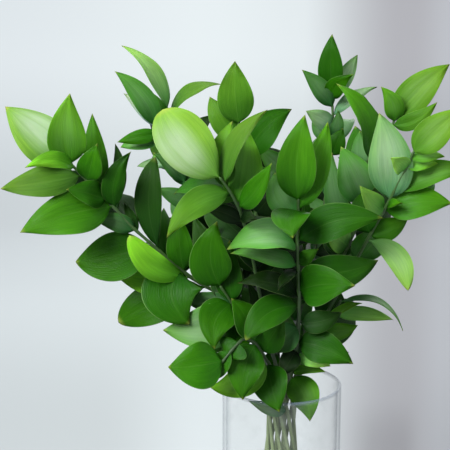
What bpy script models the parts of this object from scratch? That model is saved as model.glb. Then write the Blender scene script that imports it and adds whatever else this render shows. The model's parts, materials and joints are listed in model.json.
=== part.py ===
"""Round-leaf ruscus: a bunch of cut leafy stems standing in a clear glass cylinder of water.

Metres, +Z up, origin at the middle of the vase's underside. +X runs to the right of someone who
looks at the bunch from the front, and +Y away from them. Each leafy stem is one solid: a slender
stem with broad, pointed, cupped blades grown into it.
"""
import math
import random
from collections import namedtuple

import bmesh
import bpy
from mathutils import Vector
from mathutils.bvhtree import BVHTree

MM = 0.001
GAP = 0.3 * MM  # left between pieces that touch

# Vase and water
VASE_RADIUS = 60 * MM
VASE_HEIGHT = 240 * MM
VASE_WALL = 3.5 * MM
VASE_FLOOR = 12 * MM
VASE_FOOT_ROUNDING = 2.5 * MM
VASE_STEPS = 36
WATER_HEIGHT = 130 * MM

# Stems
STEM_RADIUS = 2.0 * MM  # at the cut end
STEM_TIP_RADIUS = 0.9 * MM
STEM_PIECES = 1  # straight pieces between two points of a route
STEM_BUD = 2.5 * MM  # reaches past the last leaf
HOLE_ALLOWANCE = 0.4 * MM

# In the vase the stems lie like the spokes of a twisted sheaf: closest together at the waist,
# spread at their feet, and all turned the same way, so that no two of them meet.
WAIST_HEIGHT = 205 * MM
NECK_HEIGHT = 250 * MM
SHEAF_TURN = 45  # degrees from a stem's place at the neck to its place at the waist
Ring = namedtuple("Ring", "waist neck foot")
INNER = Ring(waist=4.6 * MM, neck=7.5 * MM, foot=17 * MM)
OUTER = Ring(waist=13 * MM, neck=19 * MM, foot=41 * MM)

# Blades
BLADE_THICKNESS = 0.8 * MM
BLADE_CLEARANCE = 1.3 * MM  # kept between the blades of two stems
BLADE_STATIONS = (0, 0.12, 0.34, 0.6, 0.84)  # places along a blade where it is shaped
FILL_STATIONS = (0, 0.16, 0.45, 0.76)  # the same for a blade at the back
BLADE_STALK = 0.05  # part of a blade's length before it widens
STALK_WIDTH = 1.8 * MM
BLADE_OUTLINE = (0.62, 1.05)  # powers that round a blade's base and draw out its tip
BLADE_ARCH = 0.07  # height of a blade's bow over its length
BLADE_CUP = 0.24  # how far the edges rise, over the blade's half width

# Where things are in the crown is written as it is seen from the front, in millimetres to the right
# and down on a plane square to the view and 1 m before the eye, with the number of millimetres
# behind the vase's axis. The eye is 1 m before the bunch and looks down a little.
EYE = Vector((-57.4, -964.7, 584.0)) * MM
LOOK_DOWN = math.radians(10.7)
SIGHT_DISTANCE = 1000.0
SIGHT_MIDDLE = (225.0, 225.0)
SIGHT_AHEAD = Vector((0, math.cos(LOOK_DOWN), -math.sin(LOOK_DOWN)))
SIGHT_UP = Vector((0, math.sin(LOOK_DOWN), math.cos(LOOK_DOWN)))

# foot and tip as seen (the foot is moved to the nearest point of the stem), lean: how many
# millimetres the tip lies behind the foot, width in millimetres, turn: degrees from facing the eye,
# bow: how many millimetres the blade's middle curves aside from the straight line to its tip.
# Turn and bow are upwards or to the right if positive.
Leaf = namedtuple(
    "Leaf",
    "foot tip lean width turn arch cup bow outline stations",
    defaults=(BLADE_ARCH, BLADE_CUP, 0, BLADE_OUTLINE, BLADE_STATIONS),
)

# bearing: degrees round the vase's axis from +X at the neck, route: (right, down, behind) points
# above the neck, fill: how many more leaves grow at the back of the stem.
Stem = namedtuple("Stem", "ring bearing route leaves fill")

STEMS = {
    "leafy_stem_pale_front": Stem(
        INNER, 240,
        [(266, 330, -22), (259, 290, -40), (251, 250, -58), (241, 212, -74), (231, 193, -82),
         (221, 179, -88)],
        [
            Leaf((221, 179), (163, 109), 4, 48, 8, bow=-5, outline=(0.7, 0.55)),
            Leaf((226, 196), (167, 237), -30, 26, 10, bow=8),
            Leaf((239, 203), (249, 131), 10, 37, 0),
            Leaf((225, 184), (266, 109), -14, 24, 45, bow=4),
            Leaf((241, 206), (271, 163), -24, 21, 20, bow=-5),
            Leaf((230, 199), (173, 193), 8, 32, 45, 0.18),
            Leaf((229, 190), (231, 121), 16, 30, -10, bow=-3),
            Leaf((234, 202), (201, 179), 6, 16, -20),
            Leaf((243, 214), (256, 219), -16, 14, 0),
            Leaf((246, 222), (203, 207), 4, 16, 0, bow=2),
        ],
        3,
    ),
    "leafy_stem_front": Stem(
        OUTER, 292,
        [(296, 352, -34), (299, 322, -42), (299, 293, -50), (298, 265, -58), (297, 238, -64),
         (298, 215, -69), (298, 200, -72)],
        [
            Leaf((298, 202), (305, 115), -10, 36, 0, bow=-4),
            Leaf((300, 241), (383, 218), -22, 34, 5, bow=8),
            Leaf((297, 246), (227, 248), -16, 42, 45, 0.18),
            Leaf((299, 291), (354, 286), -44, 39, 0, bow=4),
            Leaf((299, 306), (246, 340), -28, 30, 10, bow=9, outline=(0.62, 0.8)),
            Leaf((299, 342), (353, 364), -24, 32, 0, bow=4),
            Leaf((296, 378), (310, 421), -30, 32, 0, bow=4),
            Leaf((299, 211), (328, 121), 12, 26, 0, bow=3),
            Leaf((297, 210), (293, 237), -34, 36, -15, bow=-4),
            Leaf((297, 216), (275, 172), 6, 34, 10, bow=-4),
            Leaf((297, 266), (231, 252), -2, 24, 35, bow=1),
            Leaf((299, 272), (379, 260), 10, 34, 0, cup=0.1, bow=-6),
            Leaf((299, 248), (304, 192), 10, 20, 60),
            Leaf((300, 322), (342, 312), -6, 22, 0, bow=-4),
            Leaf((297, 298), (238, 282), -8, 26, 40, 0.18),
            Leaf((299, 264), (318, 249), -8, 14, 10),
            Leaf((297, 271), (278, 290), -8, 12, 30, bow=2),
            Leaf((297, 357), (331, 366), -4, 16, 20),
            Leaf((296, 374), (325, 371), -10, 14, 45),
            Leaf((298, 326), (266, 350), 6, 30, 0),
            Leaf((297, 350), (281, 376), -14, 20, 0, stations=FILL_STATIONS),
        ],
        3,
    ),
    "leafy_stem_far_left": Stem(
        OUTER, 193,
        [(246, 320, -14), (222, 295, -22), (196, 281, -28), (177, 267, -34), (156, 248, -40),
         (133, 228, -46), (111, 204, -52), (90, 184, -56), (71, 164, -58)],
        [
            Leaf((71, 163), (5, 106), 0, 43, 5, bow=-1),
            Leaf((73, 164), (70, 94), -22, 35, 0, bow=-4),
            Leaf((112, 208), (20, 232), -30, 42, 10, bow=3),
            Leaf((187, 273), (130, 236), -30, 26, 0, bow=-11, outline=(0.7, 0.6)),
            Leaf((148, 243), (75, 262), 0, 46, 0, bow=-5, outline=(0.62, 0.9)),
            Leaf((179, 270), (190, 324), -26, 57, 0, bow=-12),
            Leaf((101, 196), (92, 113), 8, 22, -5, bow=-1),
            Leaf((80, 177), (0, 188), -10, 31, 20, bow=-3),
            Leaf((160, 251), (155, 157), 8, 26, -10, bow=-7, outline=(0.9, 0.8)),
            Leaf((76, 167), (26, 167), -24, 18, 25, bow=5),
            Leaf((190, 278), (113, 273), 0, 36, -5, bow=-2),
            Leaf((206, 288), (118, 323), -4, 40, 0, bow=5, outline=(0.75, 0.7)),
            Leaf((106, 200), (67, 189), -22, 26, 20),
            Leaf((115, 209), (131, 152), 2, 21, 0, bow=-8),
            Leaf((136, 231), (92, 219), 4, 18, 0, bow=3),
            Leaf((138, 232), (124, 202), 6, 10, 0),
            Leaf((87, 181), (97, 144), -12, 24, -10),
            Leaf((184, 272), (179, 214), 2, 26, 0, bow=-2),
            Leaf((172, 262), (163, 207), 12, 20, -20),
            Leaf((112, 206), (115, 143), 14, 14, 0, bow=5, stations=FILL_STATIONS),
        ],
        3,
    ),
    "leafy_stem_low_left": Stem(
        OUTER, 226,
        [(258, 345, -26), (246, 325, -34), (234, 306, -40), (221, 287, -44)],
        [
            Leaf((221, 287), (217, 222), -10, 40, -5, bow=-8),
            Leaf((240, 316), (163, 330), -20, 43, 0, bow=-5),
            Leaf((233, 303), (215, 349), -34, 36, 0, bow=-9),
            Leaf((242, 320), (219, 362), -22, 26, -10, bow=-3),
            Leaf((234, 302), (229, 240), 8, 28, -20),
            Leaf((236, 306), (184, 301), 8, 22, 20, stations=FILL_STATIONS),
            Leaf((242, 322), (206, 354), 12, 22, 0, stations=FILL_STATIONS),
            Leaf((222, 289), (193, 215), 10, 26, 0, stations=FILL_STATIONS),
        ],
        3,
    ),
    "leafy_stem_low_front": Stem(
        OUTER, 259,
        [(266, 360, -42), (256, 343, -55), (243, 338, -66), (232, 350, -72), (223, 361, -74)],
        [
            Leaf((224, 361), (168, 367), -8, 44, 0, bow=-2),
            Leaf((256, 343), (243, 400), -25, 35, 0, bow=-5),
            Leaf((267, 364), (279, 412), -30, 36, 0, bow=-1),
            Leaf((262, 355), (209, 387), -4, 32, 0, bow=-11),
            Leaf((231, 350), (212, 381), 6, 20, 10),
            Leaf((280, 412), (249, 401), -8, 15, 0, bow=-2),
            Leaf((262, 352), (284, 318), 8, 28, 0),
        ],
        2,
    ),
    "leafy_stem_near_right": Stem(
        OUTER, 324,
        [(310, 345, -14), (330, 308, -20), (346, 278, -26), (359, 255, -31), (374, 228, -38),
         (388, 204, -46), (398, 183, -53), (407, 167, -58), (413, 153, -62)],
        [
            Leaf((389, 201), (379, 113), -2, 41, 0, bow=5),
            Leaf((413, 154), (462, 108), -10, 30, 0, bow=1),
            Leaf((393, 192), (472, 170), -6, 24, 10, bow=7),
            Leaf((384, 211), (452, 203), -18, 34, 5, bow=3),
            Leaf((371, 242), (408, 290), -34, 22, 10, bow=10, outline=(0.85, 0.75)),
            Leaf((373, 238), (408, 219), 2, 22, 0, bow=-1),
            Leaf((406, 170), (391, 158), -14, 18, 0, bow=1),
            Leaf((384, 212), (361, 186), -34, 22, 20, bow=-4),
            Leaf((411, 159), (445, 156), 2, 14, 30),
            Leaf((406, 168), (438, 163), 10, 14, 30),
            Leaf((388, 206), (402, 203), -14, 10, 30),
        ],
        3,
    ),
    "leafy_stem_right": Stem(
        INNER, 350,
        [(304, 335, 8), (324, 296, 6), (344, 256, 2), (361, 216, -3), (370, 185, -8),
         (368, 160, -12)],
        [
            Leaf((368, 161), (338, 83), -5, 30, 45, 0.1, bow=6),
            Leaf((366, 206), (341, 147), -4, 38, 0, bow=2),
            Leaf((369, 176), (360, 130), 8, 22, 0, bow=-2),
            Leaf((349, 247), (325, 230), -14, 26, 10),
            Leaf((368, 190), (355, 125), 14, 34, 0),
            Leaf((355, 232), (368, 205), -2, 16, 40),
            Leaf((350, 242), (331, 152), 24, 24, -20, bow=-2),
        ],
        4,
    ),
    "leafy_stem_low_right": Stem(
        OUTER, 357,
        [(306, 352, -2), (318, 334, -8), (330, 318, -12), (340, 302, -14)],
        [
            Leaf((340, 302), (404, 330), -8, 16, 66, 0.14, bow=6),
            Leaf((322, 330), (361, 302), -26, 18, 60),
            Leaf((335, 315), (394, 319), 0, 18, 35, bow=-1),
            Leaf((320, 332), (358, 325), -4, 18, 0, bow=-3),
            Leaf((332, 315), (356, 303), 10, 16, 0, bow=2),
        ],
        2,
    ),
    "leafy_stem_top_middle": Stem(
        INNER, 160,
        [(276, 318, 10), (264, 256, 20), (254, 204, 26), (245, 162, 28), (239, 124, 28)],
        [
            Leaf((239, 125), (235, 61), -5, 36, 0, bow=-2),
            Leaf((245, 160), (292, 109), -2, 34, 0, bow=7),
            Leaf((241, 138), (210, 96), 8, 28, 0, bow=-5),
            Leaf((256, 214), (274, 192), -4, 26, 0, stations=FILL_STATIONS),
            Leaf((276, 326), (239, 286), -8, 28, 0, stations=FILL_STATIONS),
            Leaf((279, 352), (264, 376), -12, 18, 0, stations=FILL_STATIONS),
        ],
        4,
    ),
    "leafy_stem_top_right": Stem(
        OUTER, 63,
        [(298, 320, 36), (312, 264, 52), (324, 208, 66), (331, 160, 74), (333, 122, 80),
         (332, 94, 83)],
        [
            Leaf((332, 93), (332, 34), -6, 26, -5, bow=-1),
            Leaf((332, 108), (302, 70), -6, 20, 0, bow=3),
            Leaf((333, 100), (353, 75), -18, 20, 0, bow=6),
            Leaf((333, 99), (358, 54), 14, 18, 0),
            Leaf((333, 116), (377, 86), 6, 16, 40, bow=1),
            Leaf((333, 127), (306, 111), -4, 20, 0, bow=1),
            Leaf((333, 138), (338, 110), 8, 14, 10, bow=2),
            Leaf((331, 156), (343, 128), -4, 20, 0, stations=FILL_STATIONS),
            Leaf((333, 141), (312, 118), 8, 20, 0, stations=FILL_STATIONS),
        ],
        5,
    ),
    "leafy_stem_far_right": Stem(
        OUTER, 30,
        [(314, 330, 30), (336, 276, 46), (356, 222, 60), (372, 174, 70), (384, 142, 76),
         (394, 121, 80)],
        [
            Leaf((394, 121), (450, 64), -10, 35, 0, bow=4),
            Leaf((394, 126), (437, 102), -22, 18, 0, bow=-6),
            Leaf((393, 122), (381, 87), -4, 21, 0, bow=6),
        ],
        5,
    ),
    "leafy_stem_top_left": Stem(
        OUTER, 161,
        [(258, 322, 24), (234, 270, 38), (208, 222, 52), (190, 192, 60), (176, 166, 65),
         (157, 127, 68)],
        [
            Leaf((157, 128), (115, 71), -8, 24, 10, bow=5),
            Leaf((160, 134), (117, 142), -8, 16, 10),
            Leaf((163, 138), (120, 147), 10, 20, 20),
            Leaf((158, 128), (123, 93), 14, 14, 0, bow=3),
            Leaf((186, 184), (153, 153), -8, 16, -10, bow=4),
            Leaf((174, 163), (136, 166), 14, 12, 20),
            Leaf((199, 206), (156, 188), -4, 20, 0, stations=FILL_STATIONS),
        ],
        3,
    ),
    "leafy_stem_upper_left": Stem(
        OUTER, 128,
        [(266, 322, 36), (246, 274, 52), (224, 228, 64), (204, 195, 72), (188, 170, 78),
         (177, 140, 82), (168, 110, 84)],
        [
            Leaf((168, 109), (123, 44), -5, 27, 52, 0.07, bow=3),
            Leaf((176, 114), (221, 83), -4, 25, 58, 0.14, bow=1),
            Leaf((174, 121), (147, 90), 10, 14, -10),
            Leaf((188, 168), (147, 133), -14, 26, 0, bow=-3),
        ],
        4,
    ),
    "leafy_stem_back_right": Stem(
        INNER, 80,
        [(292, 320, 50), (298, 262, 74), (301, 208, 90), (300, 168, 98)],
        [
            Leaf((300, 186), (257, 146), -6, 28, 0),
            Leaf((301, 200), (352, 176), -4, 30, 0),
            Leaf((294, 322), (308, 286), -6, 30, 0, stations=FILL_STATIONS),
            Leaf((291, 344), (280, 306), -10, 24, 0, stations=FILL_STATIONS),
            Leaf((291, 352), (302, 324), -8, 22, 0, stations=FILL_STATIONS),
        ],
        7,
    ),
    "leafy_stem_back_left": Stem(
        OUTER, 95,
        [(276, 320, 48), (256, 262, 74), (236, 208, 92), (222, 168, 102)],
        [
            Leaf((232, 196), (176, 178), -4, 28, 0),
        ],
        9,
    ),
}

GLASS_COLOUR = (0.93, 0.96, 0.97, 0.35)
WATER_COLOUR = (0.86, 0.92, 0.92, 0.4)
LEAF_COLOUR = (0.10, 0.26, 0.04, 1)


def clear_scene():
    for thing in list(bpy.data.objects):
        bpy.data.objects.remove(thing)


def collection(name):
    made = bpy.data.collections.new(name)
    bpy.context.scene.collection.children.link(made)
    return made


def material(name, colour, roughness):
    made = bpy.data.materials.new(name)
    made.use_nodes = True
    shader = made.node_tree.nodes["Principled BSDF"]
    shader.inputs["Base Color"].default_value = colour
    shader.inputs["Roughness"].default_value = roughness
    shader.inputs["Metallic"].default_value = 0.0
    return made


def mesh_object(name, points, faces, where, finish=None):
    mesh = bpy.data.meshes.new(name)
    mesh.from_pydata(points, [], faces)
    work = bmesh.new()
    work.from_mesh(mesh)
    bmesh.ops.recalc_face_normals(work, faces=work.faces)
    work.to_mesh(mesh)
    work.free()
    made = bpy.data.objects.new(name, mesh)
    if finish:
        mesh.materials.append(finish)
    where.objects.link(made)
    return made


def evaluated_mesh(thing):
    bpy.context.view_layer.update()
    graph = bpy.context.evaluated_depsgraph_get()
    return bpy.data.meshes.new_from_object(thing.evaluated_get(graph))


def apply_modifiers(thing):
    mesh = evaluated_mesh(thing)
    thing.modifiers.clear()
    thing.data = mesh


# Sight lines


def seen(right, down, behind):
    """The point that many millimetres behind the vase's axis which is seen at (right, down)."""
    line = (
        SIGHT_AHEAD * SIGHT_DISTANCE
        + Vector((right - SIGHT_MIDDLE[0], 0, 0))
        + SIGHT_UP * (SIGHT_MIDDLE[1] - down)
    )
    return EYE + line * ((behind * MM - EYE.y) / line.y)


def as_seen(point):
    """Where a point is seen, as (right, down)."""
    ray = point - EYE
    scale = SIGHT_DISTANCE / ray.dot(SIGHT_AHEAD)
    return Vector((SIGHT_MIDDLE[0] + ray.x * scale, SIGHT_MIDDLE[1] - ray.dot(SIGHT_UP) * scale))


# Stems


def on_circle(radius, bearing, height):
    angle = math.radians(bearing)
    return Vector((radius * math.cos(angle), radius * math.sin(angle), height))


def stem_foot_and_waist(stem):
    """The cut end on the vase's floor and the waist point, on a line that passes round the axis."""
    bearing = stem.bearing + SHEAF_TURN
    waist = on_circle(stem.ring.waist, bearing, WAIST_HEIGHT)
    aside = math.sqrt(stem.ring.foot**2 - stem.ring.waist**2)
    foot = waist + on_circle(aside, bearing + 90, 0)
    foot.z = VASE_FLOOR + GAP
    return foot, waist


def smooth_route(points, first_direction):
    """Points of one smooth curve through the given ones, which sets out in first_direction."""
    spans = [(b - a).length for a, b in zip(points, points[1:])]
    slopes = [(b - a) / span for a, b, span in zip(points, points[1:], spans)]
    tangents = [first_direction]
    for before, after, left, right in zip(slopes, slopes[1:], spans, spans[1:]):
        tangents.append((before * right + after * left) / (left + right))
    tangents.append(slopes[-1])
    route = [points[0]]
    for i, span in enumerate(spans):
        for step in range(1, STEM_PIECES + 1):
            t = step / STEM_PIECES
            route.append(
                points[i] * (2 * t**3 - 3 * t**2 + 1)
                + points[i + 1] * (3 * t**2 - 2 * t**3)
                + tangents[i] * span * (t**3 - 2 * t**2 + t)
                + tangents[i + 1] * span * (t**3 - t**2)
            )
    return route


def stem_route(stem):
    """The stem's middle line from its cut end to its last leaf."""
    foot, waist = stem_foot_and_waist(stem)
    neck = on_circle(stem.ring.neck, stem.bearing, NECK_HEIGHT)
    crown = [seen(*place) for place in stem.route]
    route = [foot] + smooth_route([waist, neck] + crown, (waist - foot).normalized())
    return route + [route[-1] + (route[-1] - route[-2]).normalized() * STEM_BUD]


def stem_radius(route, i):
    """Tapers from the cut end to the last leaf."""
    return STEM_RADIUS + (STEM_TIP_RADIUS - STEM_RADIUS) * (i / (len(route) - 1)) ** 1.5


def nearest_on_route(route, right, down):
    """The point of the stem above the waist that is seen nearest to (right, down)."""
    wanted = Vector((right, down))
    best = None
    for a, b in zip(route[1:-1], route[2:-1]):
        start, end = as_seen(a), as_seen(b)
        run = end - start
        share = min(max((wanted - start).dot(run) / run.dot(run), 0), 1)
        miss = (start + run * share - wanted).length
        if best is None or miss < best[0]:
            best = (miss, a.lerp(b, share))
    return best[1]


def tube_object(name, route, radii, where, finish=None):
    """A round bar along the route, with flat ends, as a closed mesh."""
    curve = bpy.data.curves.new(name, "CURVE")
    curve.dimensions = "3D"
    curve.bevel_depth = 1.0
    curve.bevel_resolution = 1
    curve.render_resolution_u = 0
    curve.use_fill_caps = True
    spline = curve.splines.new("POLY")
    spline.points.add(len(route) - 1)
    for point, place, radius in zip(spline.points, route, radii):
        point.co = (*place, 1)
        point.radius = radius
    bar = bpy.data.objects.new(name + "_curve", curve)
    where.objects.link(bar)
    mesh = evaluated_mesh(bar)
    work = bmesh.new()
    work.from_mesh(mesh)
    bmesh.ops.remove_doubles(work, verts=work.verts, dist=0.01 * MM)
    work.to_mesh(mesh)
    work.free()
    made = bpy.data.objects.new(name, mesh)
    made.matrix_world = bar.matrix_world
    where.objects.link(made)
    bpy.data.objects.remove(bar)
    mesh.materials.clear()
    if finish:
        mesh.materials.append(finish)
    return made


# Blades


class Blade:
    """A leaf's surface, from its foot on the stem to its tip: curved along and cupped across."""

    def __init__(self, foot, tip, leaf, turn, scale):
        self.foot, self.leaf = foot, leaf
        self.length = (tip - foot).length
        self.along = (tip - foot).normalized()
        self.width = leaf.width * MM * scale
        self.bow = leaf.bow * MM * scale
        to_eye = EYE - (foot + tip) / 2
        face = (to_eye - self.along * to_eye.dot(self.along)).normalized()
        self.aside = self.along.cross(face)
        if self.aside.dot(Vector((0.5, 0, 1))) < 0:
            self.aside.negate()
        self.face = face * math.cos(turn) + self.aside * math.sin(turn)

    def half_width(self, s):
        base, point = self.leaf.outline
        rise = max(s - BLADE_STALK, 0) / (1 - BLADE_STALK)
        widest = base / (base + point)
        outline = rise**base * (1 - rise) ** point / (widest**base * (1 - widest) ** point)
        return max(self.width * outline, STALK_WIDTH if s < widest else 0) / 2

    def point(self, s, t, lift):
        """s runs from foot to tip, t from edge to edge (-1 to 1), lift is towards the upper face."""
        half = self.half_width(s)
        curve = self.face * (self.leaf.arch * self.length) + self.aside * self.bow
        onward = self.along * self.length + curve * (4 - 8 * s)
        side = onward.cross(self.face).normalized()
        rise = self.leaf.cup * half * abs(t) ** 1.6 + lift
        return (
            self.foot
            + self.along * (self.length * s)
            + curve * (4 * s * (1 - s))
            + side * (half * t)
            + self.face * rise
        )

    def solid(self, thickness, first=0):
        """Points and triangles of the closed blade, split alike on both faces. A first station
        above 0 leaves out the part next to the foot."""
        stations = self.leaf.stations[first:]
        lift = thickness / 2
        points = []
        for s in stations:
            points += [self.point(s, t, lift) for t in (-1, 0, 1)]
            points += [self.point(s, t, -lift) for t in (1, 0, -1)]
        ring, last = 6, len(points) - 6
        faces = []
        for start in range(0, last, ring):
            for i in range(ring):
                j = (i + 1) % ring
                a, b = start + i, start + j
                c, d = b + ring, a + ring
                if i in (1, 4, 5):
                    faces += [(a, b, c), (a, c, d)]
                else:
                    faces += [(a, b, d), (b, c, d)]
        faces += [(1, 0, 5), (1, 5, 4), (2, 1, 4), (2, 4, 3)]
        faces += [(last + i, last + (i + 1) % ring, len(points)) for i in range(ring)]
        points.append(self.point(1, 0, 0))
        return points, faces


# Turns and leans that are tried until a blade is clear of its neighbours, the smallest first.
TRIES = sorted(
    ((lean, turn) for lean in range(-60, 61, 10) for turn in range(-60, 61, 12)),
    key=lambda change: (abs(change[0]) / 10 + abs(change[1]) / 12, change),
)
SHRINKS = (1.0, 0.86, 0.72)


def blade_for(leaf, route, lean, turn, scale):
    foot = nearest_on_route(route, *leaf.foot)
    tip = seen(*leaf.tip, foot.y / MM + leaf.lean + lean)
    tip = foot.lerp(tip, scale)
    return Blade(foot, tip, leaf, math.radians(leaf.turn + turn), scale)


def crosses(blade, own, others):
    """True if the blade comes too near another stem's solids, or through its own stem's blades."""
    wide = BVHTree.FromPolygons(*blade.solid(BLADE_THICKNESS + 2 * BLADE_CLEARANCE))
    if any(wide.overlap(tree) for tree in others):
        return True
    outer = BVHTree.FromPolygons(*blade.solid(BLADE_THICKNESS + BLADE_CLEARANCE, first=2))
    return any(outer.overlap(tree) for tree in own)


def settle(leaf, route, own, others):
    """The leaf's blade, bent clear of what grew before it, or None if there is no room."""
    for scale in SHRINKS:
        for lean, turn in TRIES:
            blade = blade_for(leaf, route, lean, turn, scale)
            if not crosses(blade, own, others):
                return blade
    return None


def tree_of(thing):
    mesh = thing.data
    points = [thing.matrix_world @ vertex.co for vertex in mesh.vertices]
    return BVHTree.FromPolygons(points, [tuple(face.vertices) for face in mesh.polygons])


def fill_leaves(name, stem, route):
    """More leaves along the stem, alternately on both sides and leaning to its back."""
    draw = random.Random(name)
    first, last = len(route) * 0.38, len(route) * 0.66
    made = []
    for i in range(stem.fill):
        place = first + (last - first) * (i + 0.5) / stem.fill
        low = int(place)
        foot = route[low].lerp(route[low + 1], place - low)
        onward = (route[low + 1] - route[low]).normalized()
        outward = Vector((foot.x * 0.2, 0.08, 0)).normalized()
        across = onward.cross(outward).normalized()
        hand = 1 if i % 2 else -1
        way = onward * 0.5 + across * hand * draw.uniform(0.2, 0.5) + outward * draw.uniform(0.8, 1.2)
        length = draw.uniform(58, 76) * MM
        tip = foot + way.normalized() * length
        leaf = Leaf(
            foot=tuple(as_seen(foot)),
            tip=tuple(as_seen(tip)),
            lean=(tip.y - foot.y) / MM,
            width=length / MM * draw.uniform(0.44, 0.52),
            turn=draw.uniform(-40, 40),
            arch=draw.uniform(0.04, 0.12),
            stations=FILL_STATIONS,
        )
        made.append(leaf)
    return made


# Vase and water


def turned_object(name, profile, where, finish):
    """A solid turned round the Z axis from a profile of (radius, height) points."""
    mesh = bpy.data.meshes.new(name)
    points = [(radius, 0, height) for radius, height in profile]
    mesh.from_pydata(points, [(i, i + 1) for i in range(len(points) - 1)], [])
    made = bpy.data.objects.new(name, mesh)
    where.objects.link(made)
    turn = made.modifiers.new("Turn", "SCREW")
    turn.steps = turn.render_steps = VASE_STEPS
    turn.use_merge_vertices = True
    turn.merge_threshold = 0.01 * MM
    turn.use_smooth_shade = True
    mesh.materials.append(finish)
    return made


def arc(centre, radius, start, end, steps):
    """Points of an arc in a profile; the angles are in degrees."""
    angles = [math.radians(start + (end - start) * i / steps) for i in range(steps + 1)]
    return [(centre[0] + radius * math.cos(a), centre[1] + radius * math.sin(a)) for a in angles]


def vase_object(where, finish):
    inner = VASE_RADIUS - VASE_WALL
    lip = VASE_WALL / 2
    corner = 4 * MM  # between the floor and the inside wall
    foot = VASE_FOOT_ROUNDING
    profile = [(0, VASE_FLOOR)]
    profile += arc((inner - corner, VASE_FLOOR + corner), corner, -90, 0, 2)
    profile += arc((inner + lip, VASE_HEIGHT - lip), lip, 180, 0, 4)
    profile += arc((VASE_RADIUS - foot, foot), foot, 0, -90, 2)
    profile += [(0, 0)]
    return turned_object("glass_vase", profile, where, finish)


def water_object(stems, where, tools, finish):
    inner = VASE_RADIUS - VASE_WALL - GAP
    corner = 4 * MM
    bottom = VASE_FLOOR + GAP
    profile = [(0, WATER_HEIGHT), (inner, WATER_HEIGHT)]
    profile += arc((inner - corner, bottom + corner), corner, 0, -90, 2)
    profile += [(0, bottom)]
    water = turned_object("water", profile, where, finish)
    apply_modifiers(water)
    holes = collection("stem_holes")
    for name, stem in stems.items():
        foot, waist = stem_foot_and_waist(stem)
        way = (waist - foot).normalized()
        ends = [foot - way * 8 * MM, waist - way * 20 * MM]
        radius = STEM_RADIUS + HOLE_ALLOWANCE
        hole = tube_object("hole_for_" + name, ends, [radius, radius], holes)
        hole.hide_render = True
        hole.display_type = "WIRE"
    cut = water.modifiers.new("Stem holes", "BOOLEAN")
    cut.operation = "DIFFERENCE"
    cut.operand_type = "COLLECTION"
    cut.collection = holes
    cut.solver = "EXACT"
    apply_modifiers(water)
    for hole in list(holes.objects):
        bpy.data.objects.remove(hole)
    bpy.data.collections.remove(holes)
    return water


# The bunch


def join_blades(stem_object, blades):
    """Grows the blades into the stem as one solid."""
    grown = collection("blades")
    for i, blade in enumerate(blades):
        points, faces = blade.solid(BLADE_THICKNESS)
        mesh_object(f"blade_{i}", points, faces, grown)
    join = stem_object.modifiers.new("Blades", "BOOLEAN")
    join.operation = "UNION"
    join.operand_type = "COLLECTION"
    join.collection = grown
    join.solver = "EXACT"
    apply_modifiers(stem_object)
    for blade in list(grown.objects):
        bpy.data.objects.remove(blade)
    bpy.data.collections.remove(grown)


def settle_all(stems, stem_objects, vase):
    """Blades for each stem, seen leaves first and then the fill, each clear of the earlier ones."""
    routes = {name: stem_route(stem) for name, stem in stems.items()}
    tubes = {name: tree_of(thing) for name, thing in stem_objects.items()}
    glass = BVHTree.FromPolygons(
        [vertex.co for vertex in vase.vertices], [tuple(face.vertices) for face in vase.polygons]
    )
    blades = {name: [] for name in stems}
    trees = {name: [] for name in stems}
    seen_leaves = [(name, leaf) for name, stem in stems.items() for leaf in stem.leaves]
    fill = [
        (name, leaf)
        for name, stem in stems.items()
        for leaf in fill_leaves(name, stem, routes[name])
    ]
    for name, leaf in seen_leaves + fill:
        others = [glass]
        for other in stems:
            if other != name:
                others += [tubes[other]] + trees[other]
        blade = settle(leaf, routes[name], trees[name], others)
        if blade:
            blades[name].append(blade)
            trees[name].append(BVHTree.FromPolygons(*blade.solid(BLADE_THICKNESS)))
    return blades


def build():
    clear_scene()
    bunch = collection("round_leaf_ruscus")
    glass = material("glass", GLASS_COLOUR, 0.02)
    water = material("water", WATER_COLOUR, 0.02)
    leaf = material("leaf", LEAF_COLOUR, 0.35)
    vase = vase_object(bunch, glass)
    stem_objects = {}
    for name, stem in STEMS.items():
        route = stem_route(stem)
        radii = [stem_radius(route, i) for i in range(len(route))]
        stem_objects[name] = tube_object(name, route, radii, bunch, leaf)
    blades = settle_all(STEMS, stem_objects, evaluated_mesh(vase))
    for name, thing in stem_objects.items():
        join_blades(thing, blades[name])
    water_object(STEMS, bunch, bunch, water)


build()
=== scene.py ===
"""Looks for the bunch of round-leaf ruscus in a glass cylinder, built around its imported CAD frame.

The tables and the placing rule are those of the CAD source, so every finer blade lies where its
plain one does. Metres, +Z up, origin at the middle of the vase's underside.
"""
import json
import math
import random
from collections import namedtuple

import bmesh
import bpy
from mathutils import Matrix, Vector, noise
from mathutils.bvhtree import BVHTree

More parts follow.
